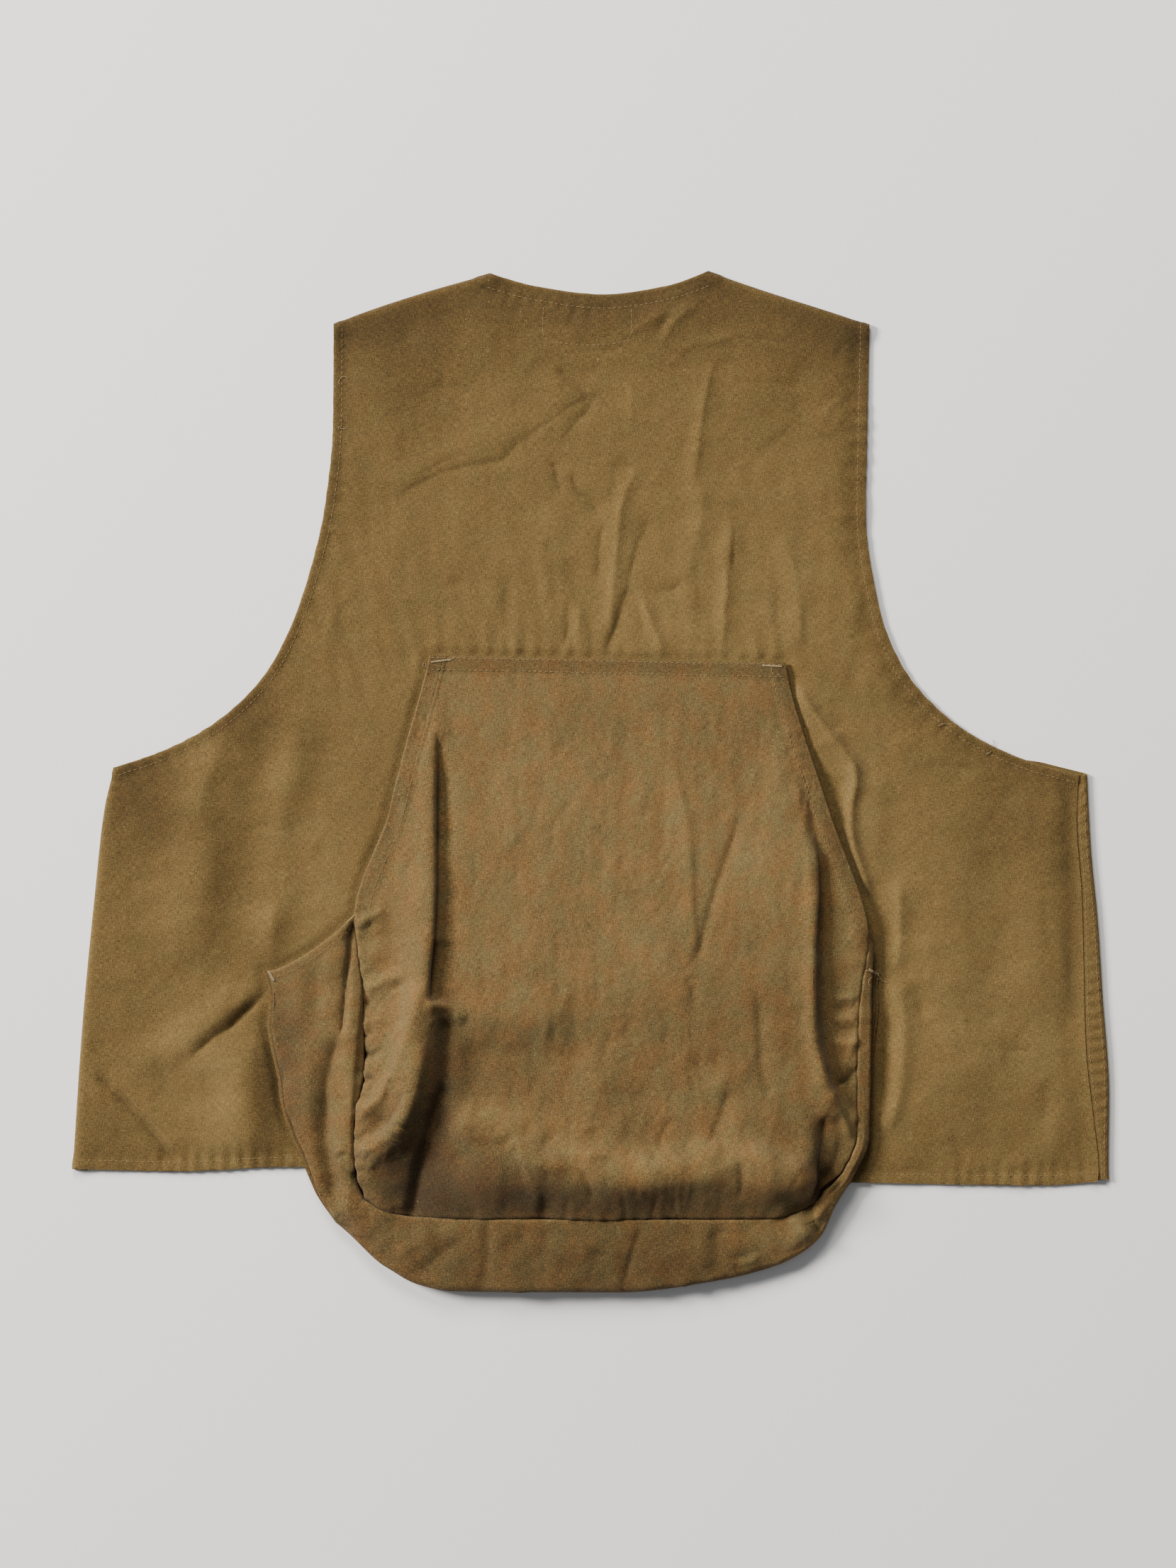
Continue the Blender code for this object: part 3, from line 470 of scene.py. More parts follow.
# The gusset's sections, by their place along its seam with the face, from the left mouth round the
# bottom to the right mouth. facing is the way out from the face in degrees, slant how far the outer
# end lies further along, and the rest are distances out from the seam, the crown's height and the
# outer fold's radius.
GUSSET = (
    # place, facing, slant, crown, crown height, fold, fold radius, tuck, end
    (0.00, 180, 39, 16, 16, 60, 1.5, 50, 61),
    (0.08, 180, 19, 12, 19, 63, 1.5, 52, 64),
    (0.15, 181, 10, 22, 22, 55.5, 1.6, 44.5, 56.5),
    (0.22, 186, 4, 11, 17.5, 35, 2.0, 24, 37),
    (0.26, 200, 0, 10, 16, 28, 2.4, 18, 28),
    (0.285, 225, 0, 10, 15.5, 25.5, 3.0, 16, 24),
    (0.33, 246, 0, 16, 16, 39, 4.0, 27, 35),
    (0.352, 256, 0, 18, 17, 47, 4.6, 34, 42),
    (0.375, 264, 0, 20, 18, 50, 5.0, 37, 45),
    (0.53, 270, 0, 20, 18.5, 50, 5.0, 36, 45),
    (0.635, 271, 0, 17, 17.5, 41, 4.5, 28, 36),
    (0.69, 280, 0, 13, 16, 31, 4.0, 18, 26),
    (0.715, 296, 0, 10, 17, 23, 3.4, 11, 18),
    (0.735, 318, 0, 6, 14.5, 12.5, 2.8, 1, 9),
    (0.775, 342, 0, 4, 13, 8, 2.4, -4, 7),
    (0.81, 352, 0, 4, 12.6, 8.5, 2.3, -4, 8),
    (0.88, 360, 0, 4, 12.2, 9.5, 2.2, -6, 9),
    (0.94, 360, -6, 3, 12, 8, 2.0, -8, 11),
    (1.00, 360, -24, 1, 11.2, 3.5, 1.8, -14, 6),
)
GUSSET_STEPS = (14, 18, 9, 4, 5, 6)  # seam to crown, to fold, round it, to tuck, round it, to end
FOLD_START = np.radians(75)  # where the outer fold's arc takes over from the crown
SLANT_POWER = 1.5  # how much the mouth's edge sags between its ends
SLANT_SHARE = 1.35  # the slant is complete before the section's end, about at its outer fold

GUSSET_CREASES = (
    # height, left, right, fade, x and y of each place along the way
    (-4.2, 2, 3, 10, -159, -90, -161, -105, -162, -118, -165, -139, -167, -160, -168, -174),
    (-6.5, 9, 5, 20, -168, -165, -176, -190, -180, -211, -180, -237, -177, -264, -171, -290),
    (1.6, 3, 9, 20, -188, -176, -190, -205, -189, -235, -184, -262, -175, -290),
    (2.2, 2.6, 9, 22, -156, -126, -157, -150, -159, -176, -161, -200, -163, -237, -163, -266),
    (-1.6, 2.2, 2.2, 5, -174, -255, -163, -250),
    (1.4, 2.2, 2.2, 5, -174, -251, -164, -246),
    (-1, 2, 2.5, 5, -173, -216, -162, -213),
    (-3.4, 3, 3, 8, -161, -260, -155, -275, -147, -282),
    (-1.9, 3, 2.2, 12, -71, -292, -70, -320, -73, -336, -75, -348),
    (-2.6, 5, 4, 14, -84, -305, -101, -318, -114, -330, -127, -339),
    (1.8, 5, 6, 14, -103, -299, -118, -311, -137, -321),
    (-1.5, 3, 2.2, 16, 36, -292, 28, -318, 20, -348),
    (-1.2, 3, 3, 10, -122, -294, -119, -310, -120, -327),
    (-1.2, 4, 4, 10, -104, -296, -103, -308, -106, -318),
    (-1, 4, 4, 12, -31, -296, -31, -320, -36, -344),
    (-1, 5, 5, 12, 84, -296, 86, -312, 82, -336),
    (1, 6, 6, 14, 110, -296, 112, -312, 106, -332),
    (-2.6, 2.5, 2.5, 6, 148, -283, 150, -293, 155, -308),
    (-2, 2, 2, 5, 145, -285, 147, -297, 149, -305),
    (1.8, 3, 3, 8, 133, -291, 142, -300, 151, -309),
    (-2.2, 2.5, 2.5, 6, 151, -282, 162, -277, 171, -268),
    (-1.8, 7, 7, 16, -213, -136, -209, -165, -200, -192),
    (1.8, 4, 5, 14, -200, -124, -197, -142, -196, -166),
    (-1.6, 3, 3, 14, -187, -118, -186, -140, -184, -168),
    (1, 4, 4, 14, -178, -110, -177, -135, -178, -160),
)

# Swells, and crumples where a width is given, by the part of the cloth that they are on. slant turns
# the places one way, or the other where it is -1, before they are stretched.
BACK_RUMPLES = (
    # part, height, slant, stretch across, stretch along, size, width, seed
    ("wide", 0.5, 0, 1, 1, 75, 0, 3),
    ("wide", 0.2, 0, 1, 1, 26, 0, 4),
    ("wide", 0.08, 0, 1, 1, 11, 0, 5),
    ("all", 0.16, 0, 1, 0.36, 26, 0.42, 6),
    ("yoke", 0.26, 0, 1, 0.36, 26, 0.42, 6),
    ("yoke", 0.2, 0, 1, 0.36, 13, 0, 8),
    ("wings", 0.45, 1, 0.4, 1, 14, 0.45, 18),
    ("all", 0.34, 0, 1, 1, 42, 0.34, 9),
    ("all", 0.2, 0, 1, 1, 22, 0.45, 14),
)
FACE_RUMPLES = (
    # part, height, slant, stretch across, stretch along, size, width, seed
    ("all", 0.8, 0, 1, 1, 70, 0, 11),
    ("all", 0.3, 0, 1, 1, 27, 0, 12),
    ("all", 0.1, 0, 1, 1, 11, 0, 13),
    ("flank", 1.2, 0, 0.5, 1, 17, 0.5, 29),
    ("flank", 0.9, -1, 0.45, 1, 10, 0.5, 35),
    ("calm", 0.22, 0, 1, 0.45, 17, 0.42, 15),
    ("calm low", 0.3, 0, 1, 0.45, 17, 0.42, 15),
    ("all", 0.3, 0, 1, 0.3, 9, 0.5, 31),
    ("calm", 0.34, 0, 1, 1, 36, 0.32, 17),
    ("calm low", 0.4, 0, 1, 1, 36, 0.32, 17),
    ("all", 0.3, 0, 1, 0.6, 11, 0.5, 19),
    ("calm low", 0.5, 0, 1, 1, 24, 0, 25),
)
GUSSET_RUMPLES = (
    # part, height, slant, stretch across, stretch along, size, width, seed
    ("crown", 0.7, 0, 1, 1, 55, 0, 21),
    ("crown", 0.4, 0, 1, 1, 20, 0, 22),
    ("seam on", 0.6, 0, 1, 1, 30, 0.36, 23),
    ("seam on", 0.4, 0, 1, 1, 16, 0.5, 27),
)

# Puckers along the seam of the face and the gusset
FACE_PUCKERS = (
    # height, distance from the seam, width, spacing, seed
    (0.5, 6, 7, 23, 90),
    (0.3, 0, 5, 10.7, 95),
)
GUSSET_PUCKERS = (
    (0.4, 6, 8, 26, 91),
    (0.25, 0, 5, 12.3, 96),
)

# Hems: width, distances of the rows of stitches from the edge, height and spacing of the puckers
ARMHOLE_ROW = 5.8
NECK_ROW = 9.4
LOWER_ROW = 6.3
TOP_ROWS = (1.4, 9.4)
MOUTH_ROW = 9.8
GUSSET_ROW = 5.0
ARMHOLE_HEM = (6.4, (ARMHOLE_ROW,), 0.5, 13)
NECK_HEM = (10.2, (NECK_ROW,), 0.45, 9.7)
LOWER_HEM = (7.0, (LOWER_ROW,), 0.65, 9.5)
TOP_HEM = (10.0, TOP_ROWS, 0.3, 12.5)
MOUTH_HEM_LEFT = (11.0, (MOUTH_ROW,), 0.16, 9.5)
MOUTH_HEM_RIGHT = (11.0, (MOUTH_ROW,), 0.16, 8.5)
GUSSET_HEM = (6.0, (GUSSET_ROW,), 0.2, 12)
HEM_SEED = 40
SEAM_ROWS = (2.6, 8.4)  # rows of stitches beside the right side seam
FOLD_ROW = 3.0  # and beside the fold next to it
SEAM_START = 4  # these rows start this many points below the armpit
FOLD_ROW_START = 8
HEM_ROW_CLEAR = 2.0  # the lower hem's row stops this far from the bag
STITCH_SEED = 100

# Puckers elsewhere: height, width, spacing, seed
GATHERS = (0.95, 13, 11, 33)  # that the bag's top edge draws into the back
PATCH_PUCKERS = (0.22, 4, 7, 77)
STRIP_PUCKERS = (0.7, 5, 8.3, 60)

# Bar tacks: start, end, width
TACKS = (
    ((-107.5, 81.0), (-94, 82.6), 1.3),
    ((116.5, 78.6), (129.5, 78.0), 1.2),
    ((188, -127), (195.5, -131), 2.0),
    ((-217.5, -128), (-214, -134), 1.8),
)
# Loose ends of thread: x, y, heading in degrees, length
THREAD_ENDS = (
    (-112, 77, 150, 5), (-112, 77, 40, 4), (-94.5, 82.8, 20, 3), (126, 73, -30, 4),
    (-169.5, 272.5, 60, 7), (-169.5, 272.5, 200, 5), (-169, 239.5, 80, 6), (-169.5, 240, -60, 5),
    (240, 39, 130, 6), (240, 39, 20, 5), (272, 23.5, 80, 6), (271, 21, -120, 5),
    (190, -128, -20, 8), (194, -130, -75, 10), (191, -131, -100, 11), (195, -131, 10, 6),
    (188.5, -127.5, 160, 4), (193, -133, -60, 7),
)
TACK_PITCH = 0.62
TACK_THREAD = (0.22, 0.3, 0.32, 0.3, 0.22)  # radii along one thread of a bar tack
STITCH_THREAD = THREAD * np.array([0.45, 0.95, 1.0, 0.95, 0.45])
STITCH_WANDER = 0.14  # a stitch's ends lie within this of its row
FIRST_STITCH = (0.5, 1.5)  # where a row starts
LENGTH_SPREAD = (0.88, 1.1)  # least and most of a stitch's length, as shares of it
PITCH_SPREAD = (0.95, 1.05)
TACK_BOW = 0.35
TACK_RAISE = 0.05
TACK_LEAN = 0.35
LOOSE_THREAD = 0.16  # radius of a loose end
LOOSE_STEP = 0.5
LOOSE_BOW = 0.9
LOOSE_RAISE = 0.25
LOOSE_LONG = 8.0  # ends shorter than this bow less
LOOSE_KEEP = 0.8  # share of its bend that an end keeps from step to step
LOOSE_TURN = 0.35  # its first bend, in radians a step
LOOSE_BEND = 0.22  # and how much that changes from step to step
LOOSE_POINTS = 6  # the fewest points of an end
BOW_SPREAD = (0.8, 1.2)
FLOOR_THREAD = 0.3  # height of an end that hangs over the cloth's edge
END_SEED = 200

# Colours from dark to pale: place on the ramp, and red, green and blue. The ends stand first.
VEST_COLOURS = (
    (0.0, (0.032, 0.018, 0.005)), (1.0, (0.33, 0.24, 0.115)), (0.30, (0.088, 0.053, 0.0145)),
    (0.50, (0.150, 0.094, 0.0275)), (0.70, (0.214, 0.140, 0.047)),
)
BAG_COLOURS = (
    (0.0, (0.032, 0.018, 0.006)), (1.0, (0.32, 0.235, 0.12)), (0.30, (0.086, 0.051, 0.0165)),
    (0.50, (0.152, 0.094, 0.031)), (0.70, (0.216, 0.140, 0.052)),
)
OLIVE = (0.90, 1.04, 1.07, 1)
RUST = (1.12, 0.955, 0.86, 1)
NEP = (0.42, 0.31, 0.15, 1)
THREAD_COLOUR = (0.185, 0.122, 0.046)
PALE_THREAD_COLOUR = (0.29, 0.213, 0.108)
VEST_MOTTLE = 0.25
BAG_MOTTLE = 0.9
WEAVE_PITCH = 0.62
WARP_SLUBS = (1.9, 0.3, 1)
WEFT_SLUBS = (0.28, 2.0, 1)
GRAIN_SCALE = 1.1
BROAD_SCALE = 0.011
PATCHY_SCALE = 0.045
MOTTLE_SCALE = (0.06, 0.045, 1)
NEP_SCALE = 0.19
NEP_SIZE = 0.09
NEP_RARITY = 0.62
NEP_STRENGTH = 0.45
BUMP_DEPTH = 0.0003  # metres

# What the photo frames, in metres on the surface of the vest
VIEW_WIDTH = 0.7963
VIEW_MIDDLE = (-0.0019, -0.0014)
CAMERA_HEIGHT = 4.0
VIEW_DEPTH = 50.0
SENSOR = 36.0
WORLD_LIGHT = 0.20
SKY_COLOUR = (0.93, 0.96, 1.0, 1)
LAMP_COLOUR = (1.0, 0.97, 0.92)
LAMPS = (
    # name, place in metres, side in metres, power
    ("lamp_left", (-3.95, 1.6, 2.7), 1.5, 500.0),
    ("lamp_neck", (-0.9, 3.9, 3.0), 2.0, 225.0),
)
FLOOR_HALF = 6.0  # metres
FLOOR_COLOUR = (0.93, 0.93, 0.93, 1)


def through(knots, values, at):
    """Values on smooth curves through the rows of values, which never swing past them."""
    knots = np.asarray(knots, float)
    values = np.asarray(values, float)
    shape = values.shape[1:]
    values = values.reshape(len(knots), -1)
    gaps = np.diff(knots)[:, None]
    rise = np.diff(values, axis=0) / gaps
    before = rise[:-1]
    after = rise[1:]
    near = 2 * gaps[1:] + gaps[:-1]
    far = gaps[1:] + 2 * gaps[:-1]
    turning = before * after <= 0
    parts = np.where(turning, 1.0, near * after + far * before)
    inner = np.where(turning, 0.0, (near + far) * before * after / parts)
    slope = np.concatenate([rise[:1], inner, rise[-1:]])
    at = np.asarray(at, float)
    i = np.clip(np.searchsorted(knots, at, side="right") - 1, 0, len(knots) - 2)
    gap = gaps[i]
    t = (at[:, None] - knots[i][:, None]) / gap
    ends = values[i] * (1 + 2 * t) * (1 - t) ** 2 + values[i + 1] * t**2 * (3 - 2 * t)
    leans = slope[i] * t * (1 - t) ** 2 - slope[i + 1] * t**2 * (1 - t)
    return (ends + gap * leans).reshape(-1, *shape)


def lengths(points, axis=0):
    """Distance along a line, or along one axis of a grid, at each of its points."""
    steps = np.linalg.norm(np.diff(points, axis=axis), axis=-1)
    return np.insert(np.cumsum(steps, axis=axis), 0, 0, axis=axis)


def unit(vectors):
    """The vectors, each at length 1."""
    return vectors / np.linalg.norm(vectors, axis=-1, keepdims=True)


def between(values, along, at):
    """Rows of values, known at distances along a line, at other distances along it."""
    return np.stack([np.interp(at, along, column) for column in values.T], axis=-1)


def curve(points, step=None, count=None):
    """A smooth curve through the points, as evenly spaced points."""
    points = np.array(points, float)
    along = lengths(points)
    fine = through(along, points, np.linspace(0, along[-1], 40 * len(points)))
    along = lengths(fine)
    if count is None:
        count = max(1, round(along[-1] / step)) + 1
    return between(fine, along, np.linspace(0, along[-1], count))


def lefts(line):
    """The direction to the left of the line, at each of its points."""
    ahead = np.gradient(line, axis=0)
    return unit(np.stack([-ahead[:, 1], ahead[:, 0]], axis=1))


def moved(line, distance):
    """The line moved to its left by distance, which may be one value for each point."""
    return line + lefts(line) * np.reshape(distance, (-1, 1))


def grown(loop, distance):
    """A closed loop, listed with its inside on the left, moved outwards."""
    round_again = np.concatenate([loop[-1:], loop, loop[:1]])
    return moved(round_again, -distance)[1:-1]


def crossing(a, b, c, d):
    """Where the line through a and b meets the line through c and d."""
    run = np.stack([b - a, c - d], axis=1)
    share = np.linalg.solve(run, c - a)[0]
    return a + share * (b - a)


def ringed(runs):
    """One closed loop from runs that follow each other, each run's ends moved to meet the next."""
    for run, following in zip(runs, runs[1:] + runs[:1]):
        meeting = crossing(run[-2], run[-1], following[0], following[1])
        run[-1] = meeting
        following[0] = meeting
    loop = np.concatenate([run[:-1] for run in runs])
    parts = []
    for start, end in zip(loop, np.roll(loop, -1, axis=0)):
        length = np.linalg.norm(end - start)
        count = 1 if length < 1.6 * EDGE_STEP else int(np.ceil(length / ROLL_STEP))
        parts.append(start + (end - start) * np.arange(count)[:, None] / count)
    return np.concatenate(parts)


def beside(line, points, reach=None):
    """Distance to the left of the line and distance along it, for each point, infinite past reach."""
    aside = np.full(len(points), np.inf)
    along = np.zeros(len(points))
    if reach is None:
        chosen = np.arange(len(points))
    else:
        low = line.min(0) - reach
        high = line.max(0) + reach
        chosen = np.flatnonzero(((points > low) & (points < high)).all(1))
    start = line[:-1][None]
    run = np.diff(line, axis=0)[None]
    square = (run * run).sum(2)
    place = lengths(line)
    for part in np.array_split(chosen, 1 + len(chosen) * len(line) // 2000000):
        to = points[part][:, None] - start
        t = np.clip((to * run).sum(2) / square, 0, 1)
        off = to - t[..., None] * run
        apart = (off * off).sum(2)
        nearest = apart.argmin(1)
        rows = np.arange(len(part))
        cross = run[0, nearest, 0] * to[rows, nearest, 1] - run[0, nearest, 1] * to[rows, nearest, 0]
        aside[part] = np.sqrt(apart[rows, nearest]) * np.where(cross >= 0, 1, -1)
        along[part] = place[nearest] + t[rows, nearest] * np.diff(place)[nearest]
    return aside, along


def distance_to(line, points, reach=None):
    """Distance from the line, for each point, infinite past reach."""
    return np.abs(beside(line, points, reach)[0])


def inside(loop, points):
    """Whether each point lies inside a closed loop."""
    ax, ay = loop[None, :, 0], loop[None, :, 1]
    bx, by = np.roll(ax, -1, axis=1), np.roll(ay, -1, axis=1)
    level = np.where(by == ay, 1.0, by - ay)
    found = []
    for part in np.array_split(points, 1 + len(points) * len(loop) // 4000000):
        x, y = part[:, None, 0], part[:, None, 1]
        crosses = ((ay > y) != (by > y)) & (x < (bx - ax) * (y - ay) / level + ax)
        found.append(crosses.sum(1) % 2 == 1)
    return np.concatenate(found)


def closed(loop):
    return np.concatenate([loop, loop[:1]])


def kept(outline, row, apart):
    """The row's points that lie inside an outline and further than apart from it."""
    return row[inside(outline, row) & (distance_to(closed(outline), row) > apart)]


def rising(value, start, width):
    """A smooth step: 0 up to start, 1 from start + width on. It falls where the width is negative."""
    t = np.clip((value - start) / width, 0, 1)
    return t * t * (3 - 2 * t)


def hump(off, width):
    """A smooth hump, 1 where off is 0, that is nearly gone at twice its width."""
    return np.exp(-((off / width) ** 2))


def swell(points, size, seed):
    """Soft random undulation from about -1 to 1, whose waves are about size long."""
    draw = np.random.default_rng(seed)
    waves = 14
    angle = draw.uniform(0, np.pi, waves)
    number = 2 * np.pi / (size * draw.uniform(0.7, 1.6, waves))
    start = draw.uniform(0, 2 * np.pi, waves)
    way = np.stack([np.cos(angle), np.sin(angle)]) * number
    return np.cos(points @ way + start).sum(1) / np.sqrt(waves)


def crumpled(points, size, width, seed):
    """Thin random creases, up and down, that wander between soft patches about size across."""
    line = swell(points, size, seed) / width
    return swell(points, 1.7 * size, seed + 1) * np.exp(-line * line)


def rumpled(points, table, parts):
    """Height of a table's swells and crumples at each place, from each part's share there."""
    turns = {0: np.eye(2), 1: SLANT, -1: SLANT.T}
    total = np.zeros(len(points))
    for part, height, slant, across, along, size, width, seed in table:
        places = points @ turns[slant] * (across, along)
        wave = crumpled(places, size, width, seed) if width else swell(places, size, seed)
        total += parts[part] * height * wave
    return total


def creased(points, table):
    """Height of the creases at each place: keen or rounded across, and fading out at both ends."""
    total = np.zeros(len(points))
    for height, left, right, fade, *way in table:
        line = curve(np.reshape(way, (-1, 2)), step=CREASE_STEP)
        aside, along = beside(line, points, CREASE_REACH * max(left, right))
        width = np.where(aside > 0, left, right)
        tip = KEEN * width + width**2 / SOFT
        across = np.exp(-(np.hypot(aside, tip) - tip) / width * CREASE_FALL)
        length = lengths(line)[-1]
        fade = min(fade, length / 2)
        ends = rising(along, 0, fade) * rising(along, length, -fade)
        total += height * np.where(np.isfinite(aside), across * ends, 0)
    return total


def fold_height(points, table):
    """Height of the soft folds at each place: rounded across, and fading out at both ends."""
    x, y = points.T
    total = np.zeros(len(x))
    for x0, y0, x1, y1, half_width, height in table:
        length = np.hypot(x1 - x0, y1 - y0)
        along = ((x - x0) * (x1 - x0) + (y - y0) * (y1 - y0)) / length
        aside = ((x - x0) * (y1 - y0) - (y - y0) * (x1 - x0)) / length
        fade = min(length / 2, FOLD_FADE * half_width)
        ends = rising(along, -fade / 2, fade) * rising(along, length + fade / 2, -fade)
        total += height * ends * hump(aside, half_width)
    return total


def puckered(along, spacing, seed):
    """Uneven small waves along a row of stitches, from about -1 to 1."""
    draw = np.random.default_rng(seed)
    a, b, c = draw.uniform(0, 2 * np.pi, 3)
    drift = 1.6 * np.sin(along / 41 + a) + 0.9 * np.sin(along / 17.3 + b)
    strength = 0.6 + 0.4 * np.sin(along / 29 + c)
    return strength * np.sin(2 * np.pi * along / spacing + drift)


def seam_puckers(off, along, table):
    """Height of a table's puckers at each distance from the seam and along it."""
    total = np.zeros(len(off))
    for height, middle, width, spacing, seed in table:
        total += height * hump(off - middle, width) * puckered(along, spacing, seed)
    return total


def hemmed(points, hems):
    """A turned hem along each line: (rise of its top, shift of the cloth, wear of its edge)."""
    rise = np.zeros(len(points))
    shift = np.zeros(len(points))
    wear_and_painted_shade = np.zeros(len(points))
    for seed, (line, (width, rows, pucker, spacing)) in enumerate(hems, HEM_SEED):
        aside, along = beside(line, points, REACH)
        near = np.isfinite(aside)
        off = np.abs(aside[near])
        along = along[near]
        ends = rising(along, 0, HEM_FADE) * rising(along, lengths(line)[-1], -HEM_FADE)
        lift = HEM_LIFT * rising(off, width + HEM_STEP[0], HEM_STEP[1])
        lift -= EDGE_DROP * np.clip(1 - off / EDGE_ROUND, 0, 1) ** 2
        for row in rows:
            lift -= STITCH_DIP * hump(off - row, STITCH_SPREAD)
        rise[near] += lift
        draw_in = hump(np.maximum(off - rows[-1], 0), PUCKER_SPREAD) * rising(off, *PUCKER_EDGE)
        shift[near] += ends * pucker * draw_in * puckered(along, spacing, seed)
        wear_and_painted_shade[near] = np.maximum(wear_and_painted_shade[near], hump(off, EDGE_WEAR))
    return rise, shift, wear_and_painted_shade


def spaced(rows, apart):
    """The rows' points without those that lie too near an earlier one."""
    cells = {}
    chosen = []
    for place in np.concatenate(rows):
        i, j = np.floor(place / apart).astype(int).tolist()
        around = [cells.get((i + a, j + b), ()) for a in (-1, 0, 1) for b in (-1, 0, 1)]
        if all((place[0] - x) ** 2 + (place[1] - y) ** 2 > apart**2 for near in around for x, y in near):
            cells.setdefault((i, j), []).append((place[0], place[1]))
            chosen.append(place)
    return np.array(chosen)


def filled(outline, step, rows=(), hidden=None):
    """Triangles inside an outline, on rows of points inside it, sparse inside the hidden loop."""
    low, high = outline.min(0), outline.max(0)
    points = []
    for number, y in enumerate(np.arange(low[1] + step / 2, high[1], step * np.sqrt(3) / 2)):
        x = np.arange(low[0] + (number % 2) * step / 2, high[0], step)
        points.append(np.column_stack([x, np.full(len(x), y)]))
    points = np.concatenate(points)
    points = points[inside(outline, points)]
    if hidden is not None:
        every = round(HIDDEN_STEP / step)
        cell = np.floor((points - low) / step).astype(int)
        sparse = (cell % every == 0).all(1)
        points = points[sparse | ~inside(hidden, points)]
    rows = [spaced(rows, ROW_SPACE)] if len(rows) else []
    edge_points = np.concatenate([outline, *rows])
    tree = KDTree(len(edge_points))
    for i, (x, y) in enumerate(edge_points):
        tree.insert((x, y, 0), i)
    tree.balance()
    apart = np.array([tree.find((x, y, 0))[2] for x, y in points])
    places = np.concatenate([points[apart > 0.6 * step], *rows, outline])
    first = len(places) - len(outline)
    edges = [(first + i, first + (i + 1) % len(outline)) for i in range(len(outline))]
    vectors = [Vector(place) for place in places]
    corners, _, faces, sources, _, _ = delaunay_2d_cdt(vectors, edges, [], 1, 1e-4)
    found = np.array([places[source[0]] if source else corner for corner, source in zip(corners, sources)])
    return found, np.array([tuple(face) for face in faces if len(face) == 3])


def hem_rows(outline, lines):
    """Rows of points beside the lines, inside the outline."""
    return [
        kept(outline, moved(line, -offset), offset - ROW_SLACK) for line in lines for offset in HEM_ROWS
    ]


def grid_faces(rows, columns, flip=False):
    """The squares of a grid, which face up where its columns run to the right and its rows go up."""
    corner = (np.arange(rows - 1)[:, None] * columns + np.arange(columns - 1)).reshape(-1)
    faces = np.stack([corner, corner + 1, corner + columns + 1, corner + columns], axis=1)
    return faces[:, ::-1] if flip else faces


def normals(points, faces):
    """The direction straight out of the sheet at each point."""
    total = np.zeros_like(points)
    a, b, c = (points[faces[:, i]] for i in (0, 1, 2))
    out = np.cross(b - a, c - a)
    if faces.shape[1] == 4:
        out += np.cross(c - a, points[faces[:, 3]] - a)
    for i in range(faces.shape[1]):
        np.add.at(total, faces[:, i], out)
    return unit(total)


def added(name, data):
    """A new object in the scene."""
    thing = bpy.data.objects.new(name, data)
    bpy.context.scene.collection.objects.link(thing)
    return thing


def made(name, points, faces, material, slot="vest_duck", **attributes):
    """A mesh piece, in metres, that rides on the frame's body."""
    mesh = bpy.data.meshes.new(name)
    mesh.from_pydata((points * MM).tolist(), [], faces)
    mesh.materials.append(material)
    for key, values in attributes.items():
        kind, field = ("FLOAT", "value") if values.ndim == 1 else ("FLOAT_VECTOR", "vector")
        attribute = mesh.attributes.new(key, kind, "POINT")
        attribute.data.foreach_set(field, values.astype(np.float32).ravel())
    mesh.shade_smooth()
    piece = added(name, mesh)
    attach(piece, "root")
    return piece


def shell(name, solid, points, faces, flat, material, slot, rise=0.0, wear_and_painted_shade=None, painted_light_and_shade=None):
    """A closed piece of cloth round the sheet, which stands in for a solid."""
    out = normals(points, faces)
    count = len(points)
    top = points + out * (CLOTH / 2 + np.reshape(rise, (-1, 1)))
    corners = np.concatenate([top, points - out * CLOTH / 2])
    following = np.roll(faces, -1, axis=1)
    edges = np.concatenate([np.stack(pair, axis=1) for pair in zip(faces.T, following.T)])
    code = edges[:, 0] * count + edges[:, 1]
    back = edges[:, 1] * count + edges[:, 0]
    rim = edges[~np.isin(code, back)]
    walls = np.stack([rim[:, 1], rim[:, 0], rim[:, 0] + count, rim[:, 1] + count], axis=1)
    everything = [*faces.tolist(), *(faces[:, ::-1] + count).tolist(), *walls.tolist()]
    zero = np.zeros(count)
    # Worn places with painted shade in the creases' hollows, and painted light and shade, go to the material
    # as point attributes.
    looks = {
        "flat": np.column_stack([flat, zero]),
        "wear_and_painted_shade": zero if wear_and_painted_shade is None else wear_and_painted_shade,
        "painted_light_and_shade": zero if painted_light_and_shade is None else painted_light_and_shade,
    }
    both = {key: np.concatenate([values, values]) for key, values in looks.items()}
    piece = made(name, corners, everything, material, slot, **both)
    piece.data.set_sharp_from_angle(angle=SHARP)
    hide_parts(solid)
    return piece


def hem_y(x):
    """Where the vest's hem lies at x."""
    table = np.array(HEM[::-1])
    return np.interp(x, table[:, 0], table[:, 1])


def sheet_height(points):
    """Middle of the bag's back: on the vest, and down on the floor past the hem."""
    past = hem_y(points[:, 0]) - HEM_CLEAR - points[:, 1]
    return SHEET_Z - (SHEET_Z - FRONT_Z) * np.clip(past / HEM_DROP, 0, 1)


def subdivided(knots, steps, finer_first=False, finer_last=False):
    """The knots with steps between neighbours: equal ones, or finer towards the first or last knot."""
    places = [np.linspace(0, 1, n, endpoint=False) for n in steps]
    if finer_first:
        places[0] = places[0] ** FINER
    if finer_last:
        places[-1] = 1 - (1 - places[-1]) ** FINER
    places = [a + (b - a) * share for a, b, share in zip(knots, knots[1:], places)]
    return np.concatenate([*places, knots[-1:]])


